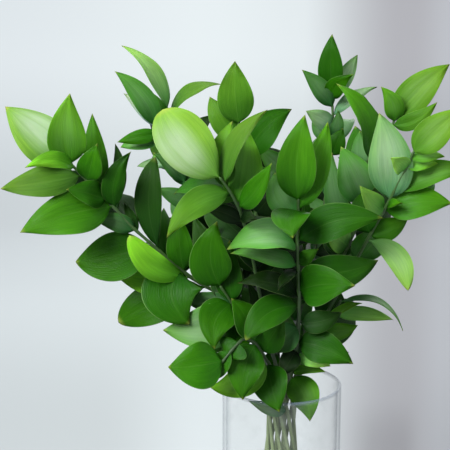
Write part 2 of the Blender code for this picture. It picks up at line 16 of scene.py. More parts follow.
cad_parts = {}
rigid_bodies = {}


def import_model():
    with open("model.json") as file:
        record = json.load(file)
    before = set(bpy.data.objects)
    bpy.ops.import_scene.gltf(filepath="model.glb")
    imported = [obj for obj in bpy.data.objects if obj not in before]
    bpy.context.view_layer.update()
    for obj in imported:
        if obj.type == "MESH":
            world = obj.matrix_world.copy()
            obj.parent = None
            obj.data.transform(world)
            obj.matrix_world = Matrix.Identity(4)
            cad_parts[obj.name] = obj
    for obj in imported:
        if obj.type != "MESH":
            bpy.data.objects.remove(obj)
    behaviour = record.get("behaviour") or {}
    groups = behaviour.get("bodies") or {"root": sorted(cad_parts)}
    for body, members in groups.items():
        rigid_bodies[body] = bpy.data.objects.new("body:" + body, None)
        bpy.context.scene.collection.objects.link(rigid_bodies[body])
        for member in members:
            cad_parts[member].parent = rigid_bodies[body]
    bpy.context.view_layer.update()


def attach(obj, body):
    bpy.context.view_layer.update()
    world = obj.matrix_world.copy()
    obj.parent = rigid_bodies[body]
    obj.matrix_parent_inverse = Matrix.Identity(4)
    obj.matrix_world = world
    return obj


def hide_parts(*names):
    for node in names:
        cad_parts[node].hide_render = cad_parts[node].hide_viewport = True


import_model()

MM = 0.001
GAP = 0.3 * MM  # left between pieces that touch
SAME_POINT = 0.01 * MM  # points nearer than this are one

# Vase and water
VASE_RADIUS = 60 * MM
VASE_HEIGHT = 240 * MM
VASE_WALL = 3.5 * MM
VASE_FLOOR = 12 * MM
VASE_CORNER = 4 * MM  # rounding between the floor and the inside wall
VASE_FOOT_ROUNDING = 2.5 * MM
VASE_STEPS = 36
WATER_HEIGHT = 130 * MM

# Stems
STEM_RADIUS = 2.0 * MM  # at the cut end
STEM_TIP_RADIUS = 0.9 * MM
STEM_TAPER = 1.5  # power of the taper along it
STEM_BUD = 2.5 * MM  # reaches past the last leaf

# In the vase the stems lie like the spokes of a twisted sheaf: closest together at the waist,
# spread at their feet, and all turned the same way, so that no two of them meet.
WAIST_HEIGHT = 205 * MM
NECK_HEIGHT = 250 * MM
SHEAF_TURN = 45  # degrees from a stem's place at the neck to its place at the waist
Ring = namedtuple("Ring", "waist neck foot")
INNER = Ring(waist=4.6 * MM, neck=7.5 * MM, foot=17 * MM)
OUTER = Ring(waist=13 * MM, neck=19 * MM, foot=41 * MM)

# Blades
BLADE_THICKNESS = 0.8 * MM
BLADE_CLEARANCE = 1.3 * MM  # kept between the blades of two stems
BLADE_STATIONS = (0, 0.12, 0.34, 0.6, 0.84)  # places along a blade where it is shaped
FILL_STATIONS = (0, 0.16, 0.45, 0.76)  # the same for a blade at the back
BLADE_STALK = 0.05  # part of a blade's length before it widens
STALK_WIDTH = 1.8 * MM
BLADE_OUTLINE = (0.62, 1.05)  # powers that round a blade's base and draw out its tip
BLADE_ARCH = 0.07  # height of a blade's bow over its length
BLADE_CUP = 0.24  # how far the edges rise, over the blade's half width

# Leaves that are placed by a rule, with ranges to draw from: reach: the parts of a stem between
# which they grow, lengths: in millimetres, widths and arches: over the length, turns: in degrees
Growth = namedtuple("Growth", "reach lengths widths turns arches", defaults=((0.04, 0.12),))
FILL = Growth((0.38, 0.66), (58, 76), (0.44, 0.52), (-40, 40))

# Where things are in the crown is written as it is seen from the front, in millimetres to the right
# and down on a plane square to the view and 1 m before the eye, with the number of millimetres
# behind the vase's axis. The eye is 1 m before the bunch and looks down a little.
EYE = Vector((-57.4, -964.7, 584.0)) * MM
LOOK_DOWN = math.radians(10.7)
SIGHT_DISTANCE = 1000.0
SIGHT_MIDDLE = (225.0, 225.0)
SIGHT_AHEAD = Vector((0, math.cos(LOOK_DOWN), -math.sin(LOOK_DOWN)))
SIGHT_UP = Vector((0, math.sin(LOOK_DOWN), math.cos(LOOK_DOWN)))

# foot and tip as seen (the foot is moved to the nearest point of the stem), lean: how many
# millimetres the tip lies behind the foot, width in millimetres, turn: degrees from facing the eye,
# bow: how many millimetres the blade's middle curves aside from the straight line to its tip.
# Turn and bow are upwards or to the right if positive.
Leaf = namedtuple(
    "Leaf",
    "foot tip lean width turn arch cup bow outline stations",
    defaults=(BLADE_ARCH, BLADE_CUP, 0, BLADE_OUTLINE, BLADE_STATIONS),
)

# bearing: degrees round the vase's axis from +X at the neck, route: (right, down, behind) points
# above the neck, fill: how many more leaves grow at the back of the stem, tones: the tone of each
# leaf in the same order, and then of those at the back.
Stem = namedtuple("Stem", "ring bearing route leaves fill tones")

STEMS = {
    "leafy_stem_pale_front": Stem(INNER, 240, [
        (266, 330, -22), (259, 290, -40), (251, 250, -58), (241, 212, -74), (231, 193, -82),
        (221, 179, -88),
    ], [
        Leaf((221, 179), (163, 109), 4, 48, 8, bow=-5, outline=(0.7, 0.55)),
        Leaf((226, 196), (167, 237), -30, 26, 10, bow=8),
        Leaf((239, 203), (249, 131), 10, 37, 0),
        Leaf((225, 184), (266, 109), -14, 24, 45, bow=4),
        Leaf((241, 206), (271, 163), -24, 21, 20, bow=-5),
        Leaf((230, 199), (173, 193), 8, 32, 45, 0.18),
        Leaf((229, 190), (231, 121), 16, 30, -10, bow=-3),
        Leaf((234, 202), (201, 179), 6, 16, -20),
        Leaf((243, 214), (256, 219), -16, 14, 0),
        Leaf((246, 222), (203, 207), 4, 16, 0, bow=2),
    ], fill=3, tones="mint warm bright olive mid deep warm bright night night / dark"),
    "leafy_stem_front": Stem(OUTER, 292, [
        (296, 352, -34), (299, 322, -42), (299, 293, -50), (298, 265, -58), (297, 238, -64),
        (298, 215, -69), (298, 200, -72),
    ], [
        Leaf((298, 202), (305, 115), -10, 36, 0, bow=-4),
        Leaf((300, 241), (383, 218), -22, 34, 5, bow=8),
        Leaf((297, 246), (227, 248), -16, 42, 45, 0.18),
        Leaf((299, 291), (354, 286), -44, 39, 0, bow=4),
        Leaf((299, 306), (246, 340), -28, 30, 10, bow=9, outline=(0.62, 0.8)),
        Leaf((299, 342), (353, 364), -24, 32, 0, bow=4),
        Leaf((296, 378), (310, 421), -30, 32, 0, bow=4),
        Leaf((299, 211), (328, 121), 12, 26, 0, bow=3),
        Leaf((297, 210), (293, 237), -34, 36, -15, bow=-4),
        Leaf((297, 216), (275, 172), 6, 34, 10, bow=-4),
        Leaf((297, 266), (231, 252), -2, 24, 35, bow=1),
        Leaf((299, 272), (379, 260), 10, 34, 0, cup=0.1, bow=-6),
        Leaf((299, 248), (304, 192), 10, 20, 60),
        Leaf((300, 322), (342, 312), -6, 22, 0, bow=-4),
        Leaf((297, 298), (238, 282), -8, 26, 40, 0.18),
        Leaf((299, 264), (318, 249), -8, 14, 10),
        Leaf((297, 271), (278, 290), -8, 12, 30, bow=2),
        Leaf((297, 357), (331, 366), -4, 16, 20),
        Leaf((296, 374), (325, 371), -10, 14, 45),
        Leaf((298, 326), (266, 350), 6, 30, 0),
        Leaf((297, 350), (281, 376), -14, 20, 0, stations=FILL_STATIONS),
    ], fill=3, tones=(
        "fresh deep cool deep deep deep bright fresh rich cool cool deep deep dark night rich night"
        " lit lime teal night / night"
    )),
    "leafy_stem_far_left": Stem(OUTER, 193, [
        (246, 320, -14), (222, 295, -22), (196, 281, -28), (177, 267, -34), (156, 248, -40),
        (133, 228, -46), (111, 204, -52), (90, 184, -56), (71, 164, -58),
    ], [
        Leaf((71, 163), (5, 106), 0, 43, 5, bow=-1),
        Leaf((73, 164), (70, 94), -22, 35, 0, bow=-4),
        Leaf((112, 208), (20, 232), -30, 42, 10, bow=3),
        Leaf((187, 273), (130, 236), -30, 26, 0, bow=-11, outline=(0.7, 0.6)),
        Leaf((148, 243), (75, 262), 0, 46, 0, bow=-5, outline=(0.62, 0.9)),
        Leaf((179, 270), (190, 324), -26, 57, 0, bow=-12),
        Leaf((101, 196), (92, 113), 8, 22, -5, bow=-1),
        Leaf((80, 177), (0, 188), -10, 31, 20, bow=-3),
        Leaf((160, 251), (155, 157), 8, 26, -10, bow=-7, outline=(0.9, 0.8)),
        Leaf((76, 167), (26, 167), -24, 18, 25, bow=5),
        Leaf((190, 278), (113, 273), 0, 36, -5, bow=-2),
        Leaf((206, 288), (118, 323), -4, 40, 0, bow=5, outline=(0.75, 0.7)),
        Leaf((106, 200), (67, 189), -22, 26, 20),
        Leaf((115, 209), (131, 152), 2, 21, 0, bow=-8),
        Leaf((136, 231), (92, 219), 4, 18, 0, bow=3),
        Leaf((138, 232), (124, 202), 6, 10, 0),
        Leaf((87, 181), (97, 144), -12, 24, -10),
        Leaf((184, 272), (179, 214), 2, 26, 0, bow=-2),
        Leaf((172, 262), (163, 207), 12, 20, -20),
        Leaf((112, 206), (115, 143), 14, 14, 0, bow=5, stations=FILL_STATIONS),
    ], fill=3, tones=(
        "milk lime fresh glow rich deep fresh olive dark glow glow rich deep deep teal dark mid"
        " rich deep dark / dark"
    )),
    "leafy_stem_low_left": Stem(OUTER, 226, [
        (258, 345, -26), (246, 325, -34), (234, 306, -40), (221, 287, -44),
    ], [
        Leaf((221, 287), (217, 222), -10, 40, -5, bow=-8),
        Leaf((240, 316), (163, 330), -20, 43, 0, bow=-5),
        Leaf((233, 303), (215, 349), -34, 36, 0, bow=-9),
        Leaf((242, 320), (219, 362), -22, 26, -10, bow=-3),
        Leaf((234, 302), (229, 240), 8, 28, -20),
        Leaf((236, 306), (184, 301), 8, 22, 20, stations=FILL_STATIONS),
        Leaf((242, 322), (206, 354), 12, 22, 0, stations=FILL_STATIONS),
        Leaf((222, 289), (193, 215), 10, 26, 0, stations=FILL_STATIONS),
    ], fill=3, tones="mid clear rich rich deep teal mid dark / dark"),
    "leafy_stem_low_front": Stem(OUTER, 259, [
        (266, 360, -42), (256, 343, -55), (243, 338, -66), (232, 350, -72), (223, 361, -74),
    ], [
        Leaf((224, 361), (168, 367), -8, 44, 0, bow=-2),
        Leaf((256, 343), (243, 400), -25, 35, 0, bow=-5),
        Leaf((267, 364), (279, 412), -30, 36, 0, bow=-1),
        Leaf((262, 355), (209, 387), -4, 32, 0, bow=-11),
        Leaf((231, 350), (212, 381), 6, 20, 10),
        Leaf((280, 412), (249, 401), -8, 15, 0, bow=-2),
        Leaf((262, 352), (284, 318), 8, 28, 0),
    ], fill=2, tones="mid rich deep lime rich haze deep / deep"),
    "leafy_stem_near_right": Stem(OUTER, 324, [
        (310, 345, -14), (330, 308, -20), (346, 278, -26), (359, 255, -31), (374, 228, -38),
        (388, 204, -46), (398, 183, -53), (407, 167, -58), (413, 153, -62),
    ], [
        Leaf((389, 201), (379, 113), -2, 41, 0, bow=5),
        Leaf((413, 154), (462, 108), -10, 30, 0, bow=1),
        Leaf((393, 192), (472, 170), -6, 24, 10, bow=7),
        Leaf((384, 211), (452, 203), -18, 34, 5, bow=3),
        Leaf((371, 242), (408, 290), -34, 22, 10, bow=10, outline=(0.85, 0.75)),
        Leaf((373, 238), (408, 219), 2, 22, 0, bow=-1),
        Leaf((406, 170), (391, 158), -14, 18, 0, bow=1),
        Leaf((384, 212), (361, 186), -34, 22, 20, bow=-4),
        Leaf((411, 159), (445, 156), 2, 14, 30),
        Leaf((406, 168), (438, 163), 10, 14, 30),
        Leaf((388, 206), (402, 203), -14, 10, 30),
    ], fill=3, tones="sage sun bright fresh pale fresh lit lit lime lime fresh / deep"),
    "leafy_stem_right": Stem(INNER, 350, [
        (304, 335, 8), (324, 296, 6), (344, 256, 2), (361, 216, -3), (370, 185, -8),
        (368, 160, -12),
    ], [
        Leaf((368, 161), (338, 83), -5, 30, 45, 0.1, bow=6),
        Leaf((366, 206), (341, 147), -4, 38, 0, bow=2),
        Leaf((369, 176), (360, 130), 8, 22, 0, bow=-2),
        Leaf((349, 247), (325, 230), -14, 26, 10),
        Leaf((368, 190), (355, 125), 14, 34, 0),
        Leaf((355, 232), (368, 205), -2, 16, 40),
        Leaf((350, 242), (331, 152), 24, 24, -20, bow=-2),
    ], fill=4, tones="fresh cool teal lit deep mid teal / dark"),
    "leafy_stem_low_right": Stem(OUTER, 357, [
        (306, 352, -2), (318, 334, -8), (330, 318, -12), (340, 302, -14),
    ], [
        Leaf((340, 302), (404, 330), -8, 16, 66, 0.14, bow=6),
        Leaf((322, 330), (361, 302), -26, 18, 60),
        Leaf((335, 315), (394, 319), 0, 18, 35, bow=-1),
        Leaf((320, 332), (358, 325), -4, 18, 0, bow=-3),
        Leaf((332, 315), (356, 303), 10, 16, 0, bow=2),
    ], fill=2, tones="clear lime lit bright mid / dark"),
    "leafy_stem_top_middle": Stem(INNER, 160, [
        (276, 318, 10), (264, 256, 20), (254, 204, 26), (245, 162, 28), (239, 124, 28),
    ], [
        Leaf((239, 125), (235, 61), -5, 36, 0, bow=-2),
        Leaf((245, 160), (292, 109), -2, 34, 0, bow=7),
        Leaf((241, 138), (210, 96), 8, 28, 0, bow=-5),
        Leaf((256, 214), (274, 192), -4, 26, 0, stations=FILL_STATIONS),
        Leaf((276, 326), (239, 286), -8, 28, 0, stations=FILL_STATIONS),
        Leaf((279, 352), (264, 376), -12, 18, 0, stations=FILL_STATIONS),
    ], fill=4, tones="warm deep warm night cool mid / deep"),
    "leafy_stem_top_right": Stem(OUTER, 63, [
        (298, 320, 36), (312, 264, 52), (324, 208, 66), (331, 160, 74), (333, 122, 80),
        (332, 94, 83),
    ], [
        Leaf((332, 93), (332, 34), -6, 26, -5, bow=-1),
        Leaf((332, 108), (302, 70), -6, 20, 0, bow=3),
        Leaf((333, 100), (353, 75), -18, 20, 0, bow=6),
        Leaf((333, 99), (358, 54), 14, 18, 0),
        Leaf((333, 116), (377, 86), 6, 16, 40, bow=1),
        Leaf((333, 127), (306, 111), -4, 20, 0, bow=1),
        Leaf((333, 138), (338, 110), 8, 14, 10, bow=2),
        Leaf((331, 156), (343, 128), -4, 20, 0, stations=FILL_STATIONS),
        Leaf((333, 141), (312, 118), 8, 20, 0, stations=FILL_STATIONS),
    ], fill=5, tones="deep teal mid sage haze haze teal deep teal / teal"),
    "leafy_stem_far_right": Stem(OUTER, 30, [
        (314, 330, 30), (336, 276, 46), (356, 222, 60), (372, 174, 70), (384, 142, 76),
        (394, 121, 80),
    ], [
        Leaf((394, 121), (450, 64), -10, 35, 0, bow=4),
        Leaf((394, 126), (437, 102), -22, 18, 0, bow=-6),
        Leaf((393, 122), (381, 87), -4, 21, 0, bow=6),
    ], fill=5, tones="sun warm bright / mid"),
    "leafy_stem_top_left": Stem(OUTER, 161, [
        (258, 322, 24), (234, 270, 38), (208, 222, 52), (190, 192, 60), (176, 166, 65),
        (157, 127, 68),
    ], [
        Leaf((157, 128), (115, 71), -8, 24, 10, bow=5),
        Leaf((160, 134), (117, 142), -8, 16, 10),
        Leaf((163, 138), (120, 147), 10, 20, 20),
        Leaf((158, 128), (123, 93), 14, 14, 0, bow=3),
        Leaf((186, 184), (153, 153), -8, 16, -10, bow=4),
        Leaf((174, 163), (136, 166), 14, 12, 20),
        Leaf((199, 206), (156, 188), -4, 20, 0, stations=FILL_STATIONS),
    ], fill=3, tones="moss mid cool mist teal haze teal / teal"),
    "leafy_stem_upper_left": Stem(OUTER, 128, [
        (266, 322, 36), (246, 274, 52), (224, 228, 64), (204, 195, 72), (188, 170, 78),
        (177, 140, 82), (168, 110, 84),
    ], [
        Leaf((168, 109), (123, 44), -5, 27, 52, 0.07, bow=3),
        Leaf((176, 114), (221, 83), -4, 25, 58, 0.14, bow=1),
        Leaf((174, 121), (147, 90), 10, 14, -10),
        Leaf((188, 168), (147, 133), -14, 26, 0, bow=-3),
    ], fill=4, tones="pale olive deep lit / deep"),
    "leafy_stem_back_right": Stem(INNER, 80, [
        (292, 320, 50), (298, 262, 74), (301, 208, 90), (300, 168, 98),
    ], [
        Leaf((300, 186), (257, 146), -6, 28, 0),
        Leaf((301, 200), (352, 176), -4, 30, 0),
        Leaf((294, 322), (308, 286), -6, 30, 0, stations=FILL_STATIONS),
        Leaf((291, 344), (280, 306), -10, 24, 0, stations=FILL_STATIONS),
        Leaf((291, 352), (302, 324), -8, 22, 0, stations=FILL_STATIONS),
    ], fill=7, tones="cool night cool cool teal / dark"),
    "leafy_stem_back_left": Stem(OUTER, 95, [
        (276, 320, 48), (256, 262, 74), (236, 208, 92), (222, 168, 102),
    ], [
        Leaf((232, 196), (176, 178), -4, 28, 0),
    ], fill=9, tones="teal / dark"),
}


def evaluated_mesh(thing):
    bpy.context.view_layer.update()
    graph = bpy.context.evaluated_depsgraph_get()
    return bpy.data.meshes.new_from_object(thing.evaluated_get(graph))


def tree_of(mesh):
    """A search tree of the mesh."""
    return BVHTree.FromPolygons(
        [vertex.co for vertex in mesh.vertices], [tuple(face.vertices) for face in mesh.polygons]
    )


# Sight lines


def seen(right, down, behind):
    """The point that many millimetres behind the vase's axis which is seen at (right, down)."""
    line = (
        SIGHT_AHEAD * SIGHT_DISTANCE
        + Vector((right - SIGHT_MIDDLE[0], 0, 0))
        + SIGHT_UP * (SIGHT_MIDDLE[1] - down)
    )
    return EYE + line * ((behind * MM - EYE.y) / line.y)


def as_seen(point):
    """Where a point is seen, as (right, down)."""
    ray = point - EYE
    scale = SIGHT_DISTANCE / ray.dot(SIGHT_AHEAD)
    return Vector((SIGHT_MIDDLE[0] + ray.x * scale, SIGHT_MIDDLE[1] - ray.dot(SIGHT_UP) * scale))


# Stems


def on_circle(radius, bearing, height):
    angle = math.radians(bearing)
    return Vector((radius * math.cos(angle), radius * math.sin(angle), height))


def stem_route(stem):
    """The stem's middle line: from its cut end on the vase's floor, past the waist on a line that
    passes round the axis, over the neck and the crown's points to just past its last leaf."""
    bearing = stem.bearing + SHEAF_TURN
    waist = on_circle(stem.ring.waist, bearing, WAIST_HEIGHT)
    aside = math.sqrt(stem.ring.foot**2 - stem.ring.waist**2)
    foot = waist + on_circle(aside, bearing + 90, 0)
    foot.z = VASE_FLOOR + GAP
    neck = on_circle(stem.ring.neck, stem.bearing, NECK_HEIGHT)
    route = [foot, waist, neck] + [seen(*place) for place in stem.route]
    return route + [route[-1] + (route[-1] - route[-2]).normalized() * STEM_BUD]


def stem_radius(route, place):
    """Tapers from the cut end to the last leaf. The place counts along the route's points."""
    share = place / (len(route) - 1)
    return STEM_RADIUS + (STEM_TIP_RADIUS - STEM_RADIUS) * share**STEM_TAPER


def on_route(route, place):
    """The point at that place, counted along the route's points, and the direction there."""
    low = min(int(place), len(route) - 2)
    onward = (route[low + 1] - route[low]).normalized()
    return route[low].lerp(route[low + 1], place - low), onward


def nearest_on_route(route, right, down):
    """The point of the stem above the waist that is seen nearest to (right, down)."""
    wanted = Vector((right, down))
    best = None
    for a, b in zip(route[1:-1], route[2:-1]):
        start, end = as_seen(a), as_seen(b)
        run = end - start
        share = min(max((wanted - start).dot(run) / run.dot(run), 0), 1)
        miss = (start + run * share - wanted).length
        if best is None or miss < best[0]:
            best = (miss, a.lerp(b, share))
    return best[1]


def tube_mesh(route, where):
    """A plain round bar along the route, with flat ends, as a closed mesh."""
    curve = bpy.data.curves.new("bar", "CURVE")
    curve.dimensions = "3D"
    curve.bevel_depth = 1.0
    curve.bevel_resolution = 1
    curve.render_resolution_u = 0
    curve.use_fill_caps = True
    spline = curve.splines.new("POLY")
    spline.points.add(len(route) - 1)
    for i, place in enumerate(route):
        spline.points[i].co = (*place, 1)
        spline.points[i].radius = stem_radius(route, i)
    bar = bpy.data.objects.new("bar", curve)
    where.objects.link(bar)
    mesh = evaluated_mesh(bar)
    work = bmesh.new()
    work.from_mesh(mesh)
    bmesh.ops.remove_doubles(work, verts=work.verts, dist=SAME_POINT)
    work.to_mesh(mesh)
    work.free()
    return mesh


# Blades


class Blade:
    """A leaf's surface, from its foot on the stem to its tip: curved along and cupped across."""

    def __init__(self, foot, tip, leaf, turn, scale):
        self.foot, self.leaf = foot, leaf
        self.length = (tip - foot).length
        self.along = (tip - foot).normalized()
        self.width = leaf.width * MM * scale
        self.bow = leaf.bow * MM * scale
        to_eye = EYE - (foot + tip) / 2
        face = (to_eye - self.along * to_eye.dot(self.along)).normalized()
        self.aside = self.along.cross(face)
        if self.aside.dot(Vector((0.5, 0, 1))) < 0:
            self.aside.negate()
        self.face = face * math.cos(turn) + self.aside * math.sin(turn)

    def half_width(self, s):
        base, point = self.leaf.outline
        rise = max(s - BLADE_STALK, 0) / (1 - BLADE_STALK)
        widest = base / (base + point)
        outline = rise**base * (1 - rise) ** point / (widest**base * (1 - widest) ** point)
        return max(self.width * outline, STALK_WIDTH if s < widest else 0) / 2

    def point(self, s, t, lift):
        """s runs from foot to tip, t from edge to edge (-1 to 1), lift is towards the upper face."""
        half = self.half_width(s)
        curve = self.face * (self.leaf.arch * self.length) + self.aside * self.bow
        onward = self.along * self.length + curve * (4 - 8 * s)
        side = onward.cross(self.face).normalized()
        rise = self.leaf.cup * half * abs(t) ** 1.6 + lift
        return (
            self.foot
            + self.along * (self.length * s)
            + curve * (4 * s * (1 - s))
            + side * (half * t)
            + self.face * rise
        )

    def tree(self, thickness=BLADE_THICKNESS, first=0):
        """A search tree of the closed blade, whose two faces are split alike. A first station
        above 0 leaves out the part next to the foot."""
        stations = self.leaf.stations[first:]
        lift = thickness / 2
        points = []
        for s in stations:
            points += [self.point(s, t, lift) for t in (-1, 0, 1)]
            points += [self.point(s, t, -lift) for t in (1, 0, -1)]
        ring, last = 6, len(points) - 6
        faces = []
        for start in range(0, last, ring):
            for i in range(ring):
                j = (i + 1) % ring
                a, b = start + i, start + j
                c, d = b + ring, a + ring
                if i in (1, 4, 5):
                    faces += [(a, b, c), (a, c, d)]
                else:
                    faces += [(a, b, d), (b, c, d)]
        faces += [(1, 0, 5), (1, 5, 4), (2, 1, 4), (2, 4, 3)]
        faces += [(last + i, last + (i + 1) % ring, len(points)) for i in range(ring)]
        points.append(self.point(1, 0, 0))
        return BVHTree.FromPolygons(points, faces)


# Turns and leans that are tried until a blade is clear of its neighbours, the smallest first.
TRIES = sorted(
    ((lean, turn) for lean in range(-60, 61, 10) for turn in range(-60, 61, 12)),
    key=lambda change: (abs(change[0]) / 10 + abs(change[1]) / 12, change),
)
SHRINKS = (1.0, 0.86, 0.72)


def blade_for(leaf, route, lean, turn, scale):
    foot = nearest_on_route(route, *leaf.foot)
    tip = seen(*leaf.tip, foot.y / MM + leaf.lean + lean)
    tip = foot.lerp(tip, scale)
    return Blade(foot, tip, leaf, math.radians(leaf.turn + turn), scale)


def crosses(blade, own, others):
    """True if the blade comes too near another stem's solids, or through its own stem's blades."""
    wide = blade.tree(BLADE_THICKNESS + 2 * BLADE_CLEARANCE)
    if any(wide.overlap(tree) for tree in others):
        return True
    outer = blade.tree(BLADE_THICKNESS + BLADE_CLEARANCE, first=2)
    return any(outer.overlap(tree) for tree in own)


def settle(leaf, route, own, others):
    """The leaf's blade, bent clear of what grew before it, or None if there is no room."""
    for scale in SHRINKS:
        for lean, turn in TRIES:
            blade = blade_for(leaf, route, lean, turn, scale)
            if not crosses(blade, own, others):
                return blade
    return None


def grown_leaf(draw, growth, foot, way, length, stations=BLADE_STATIONS):
    """A leaf that sets out that way from its foot, written as the ones in STEMS are."""
    tip = foot + way.normalized() * length
    return Leaf(
        foot=tuple(as_seen(foot)),
        tip=tuple(as_seen(tip)),
        lean=(tip.y - foot.y) / MM,
        width=length / MM * draw.uniform(*growth.widths),
        turn=draw.uniform(*growth.turns),
        arch=draw.uniform(*growth.arches),
        stations=stations,
    )


def fill_leaves(name, stem, route):
    """More leaves along the stem, alternately on both sides and leaning to its back."""
    draw = random.Random(name)
    first, last = (len(route) * share for share in FILL.reach)
    made = []
    for i in range(stem.fill):
        place = first + (last - first) * (i + 0.5) / stem.fill
        foot, onward = on_route(route, place)
        outward = Vector((foot.x * 0.2, 0.08, 0)).normalized()
        across = onward.cross(outward).normalized()
        hand = 1 if i % 2 else -1
        way = onward * 0.5 + across * hand * draw.uniform(0.2, 0.5) + outward * draw.uniform(0.8, 1.2)
        length = draw.uniform(*FILL.lengths) * MM
        made.append(grown_leaf(draw, FILL, foot, way, length, FILL_STATIONS))
    return made


def settle_all(stems, tubes, glass):
    """Blades for each stem, seen leaves first and then the fill, each clear of the earlier ones."""
    routes = {name: stem_route(stem) for name, stem in stems.items()}
    blades = {name: [] for name in stems}
    trees = {name: [] for name in stems}
    seen_leaves = [(name, leaf) for name, stem in stems.items() for leaf in stem.leaves]
    fill = [
        (name, leaf)
        for name, stem in stems.items()
        for leaf in fill_leaves(name, stem, routes[name])
    ]
    for name, leaf in seen_leaves + fill:
        others = [glass]
        for other in stems:
            if other != name:
                others += [tubes[other]] + trees[other]
        blade = settle(leaf, routes[name], trees[name], others)
        if blade:
            blades[name].append(blade)
            trees[name].append(blade.tree())
    return blades


# Vase


def arc(centre, radius, start, end, steps):
    """Points of an arc in a profile; the angles are in degrees."""
    angles = [math.radians(start + (end - start) * i / steps) for i in range(steps + 1)]
    return [(centre[0] + radius * math.cos(a), centre[1] + radius * math.sin(a)) for a in angles]


def vase_profile(corner_steps, lip_steps, foot_steps):
    """(radius, height) points from the middle of the floor over the rim to that of the underside."""
    inner = VASE_RADIUS - VASE_WALL
    lip = VASE_WALL / 2
    corner = VASE_CORNER
    foot = VASE_FOOT_ROUNDING
    profile = [(0, VASE_FLOOR)]
    profile += arc((inner - corner, VASE_FLOOR + corner), corner, -90, 0, corner_steps)
    profile += arc((inner + lip, VASE_HEIGHT - lip), lip, 180, 0, lip_steps)
    profile += arc((VASE_RADIUS - foot, foot), foot, 0, -90, foot_steps)
    return profile + [(0, 0)]


def plain_vase_mesh(where):
    """The vase as the CAD source has it."""
    mesh = bpy.data.meshes.new("plain_vase")
    points = [(radius, 0, height) for radius, height in vase_profile(2, 4, 2)]
    mesh.from_pydata(points, [(i, i + 1) for i in range(len(points) - 1)], [])
    made = bpy.data.objects.new("plain_vase", mesh)
    where.objects.link(made)
    turn = made.modifiers.new("Turn", "SCREW")
    turn.steps = turn.render_steps = VASE_STEPS
    turn.use_merge_vertices = True
    turn.merge_threshold = SAME_POINT
    return evaluated_mesh(made)


# Camera

LENS = 80  # millimetres, as is the sensor's width
SENSOR_WIDTH = 36
NEAREST_SEEN = 50 * MM
FARTHEST_SEEN = 50


def make_camera():
    data = bpy.data.cameras.new("camera")
    data.lens = LENS
    data.sensor_width = SENSOR_WIDTH
    data.clip_start = NEAREST_SEEN
    data.clip_end = FARTHEST_SEEN
    camera = bpy.data.objects.new("camera", data)
    camera.location = EYE
    camera.rotation_euler = (math.pi / 2 - LOOK_DOWN, 0, 0)
    bpy.context.scene.collection.objects.link(camera)
    bpy.context.scene.camera = camera


# Leaf tones: colour of the upper side, how much painted sheen (a pale painted highlight) lies on its
# middle, how bright its streaks are, how far its tip has turned yellow, and how far the painted sheen
# lies towards one edge.
Tone = namedtuple("Tone", "colour bloom streak tip side", defaults=(0.0, 0.35, 0.5, 0.0))
# Each leaf's tone was matched to how bright the leaf looks, so besides the leaves' own colour the
# tones hold painted light and shade: the brightest, such as lit and glow, lighten leaves that lie in
# shade, and the darkest, dark and night, darken leaves in shade.
TONES = {
    "mint": Tone((0.26, 0.53, 0.055), bloom=0.75, streak=0.25, side=-0.35),
    "milk": Tone((0.20, 0.43, 0.050), bloom=0.8, streak=0.6, tip=0.9, side=0.3),
    "sage": Tone((0.175, 0.40, 0.13), bloom=0.45, streak=0.8),
    "pale": Tone((0.26, 0.56, 0.11), bloom=0.2),
    "lime": Tone((0.15, 0.46, 0.020), bloom=0.1),
    "bright": Tone((0.100, 0.34, 0.014), bloom=0.08),
    "warm": Tone((0.090, 0.265, 0.016)),
    "fresh": Tone((0.060, 0.25, 0.007)),
    "mid": Tone((0.036, 0.185, 0.003)),
    "rich": Tone((0.030, 0.150, 0.003)),
    "olive": Tone((0.080, 0.205, 0.016)),
    "sun": Tone((0.15, 0.36, 0.020), bloom=0.1),
    "glow": Tone((0.20, 0.62, 0.030)),
    "deep": Tone((0.022, 0.125, 0.003)),
    "dark": Tone((0.014, 0.062, 0.005), tip=0.2),
    "night": Tone((0.008, 0.028, 0.004), tip=0.1),
    "teal": Tone((0.050, 0.19, 0.034), bloom=0.1),
    "cool": Tone((0.090, 0.33, 0.045), bloom=0.25),
    "moss": Tone((0.065, 0.25, 0.030), bloom=0.1),
    "clear": Tone((0.13, 0.36, 0.075), bloom=0.35),
    "lit": Tone((0.34, 0.80, 0.13), bloom=0.1),
    "haze": Tone((0.16, 0.34, 0.13), bloom=0.3, tip=0.2),
    "mist": Tone((0.34, 0.47, 0.34), bloom=0.3, tip=0.1),
}

# What each point of a leaf carries for its material
LEAF_VALUES = (
    "leaf_tone", "leaf_draw", "leaf_under", "leaf_painted_sheen", "leaf_streak", "leaf_yellow", "leaf_sheen_side"
)


# Materials

ARCH_SHADE = 0.8  # how strongly a blade is shaded as if arched across
BLACK = (0.0, 0.0, 0.0)


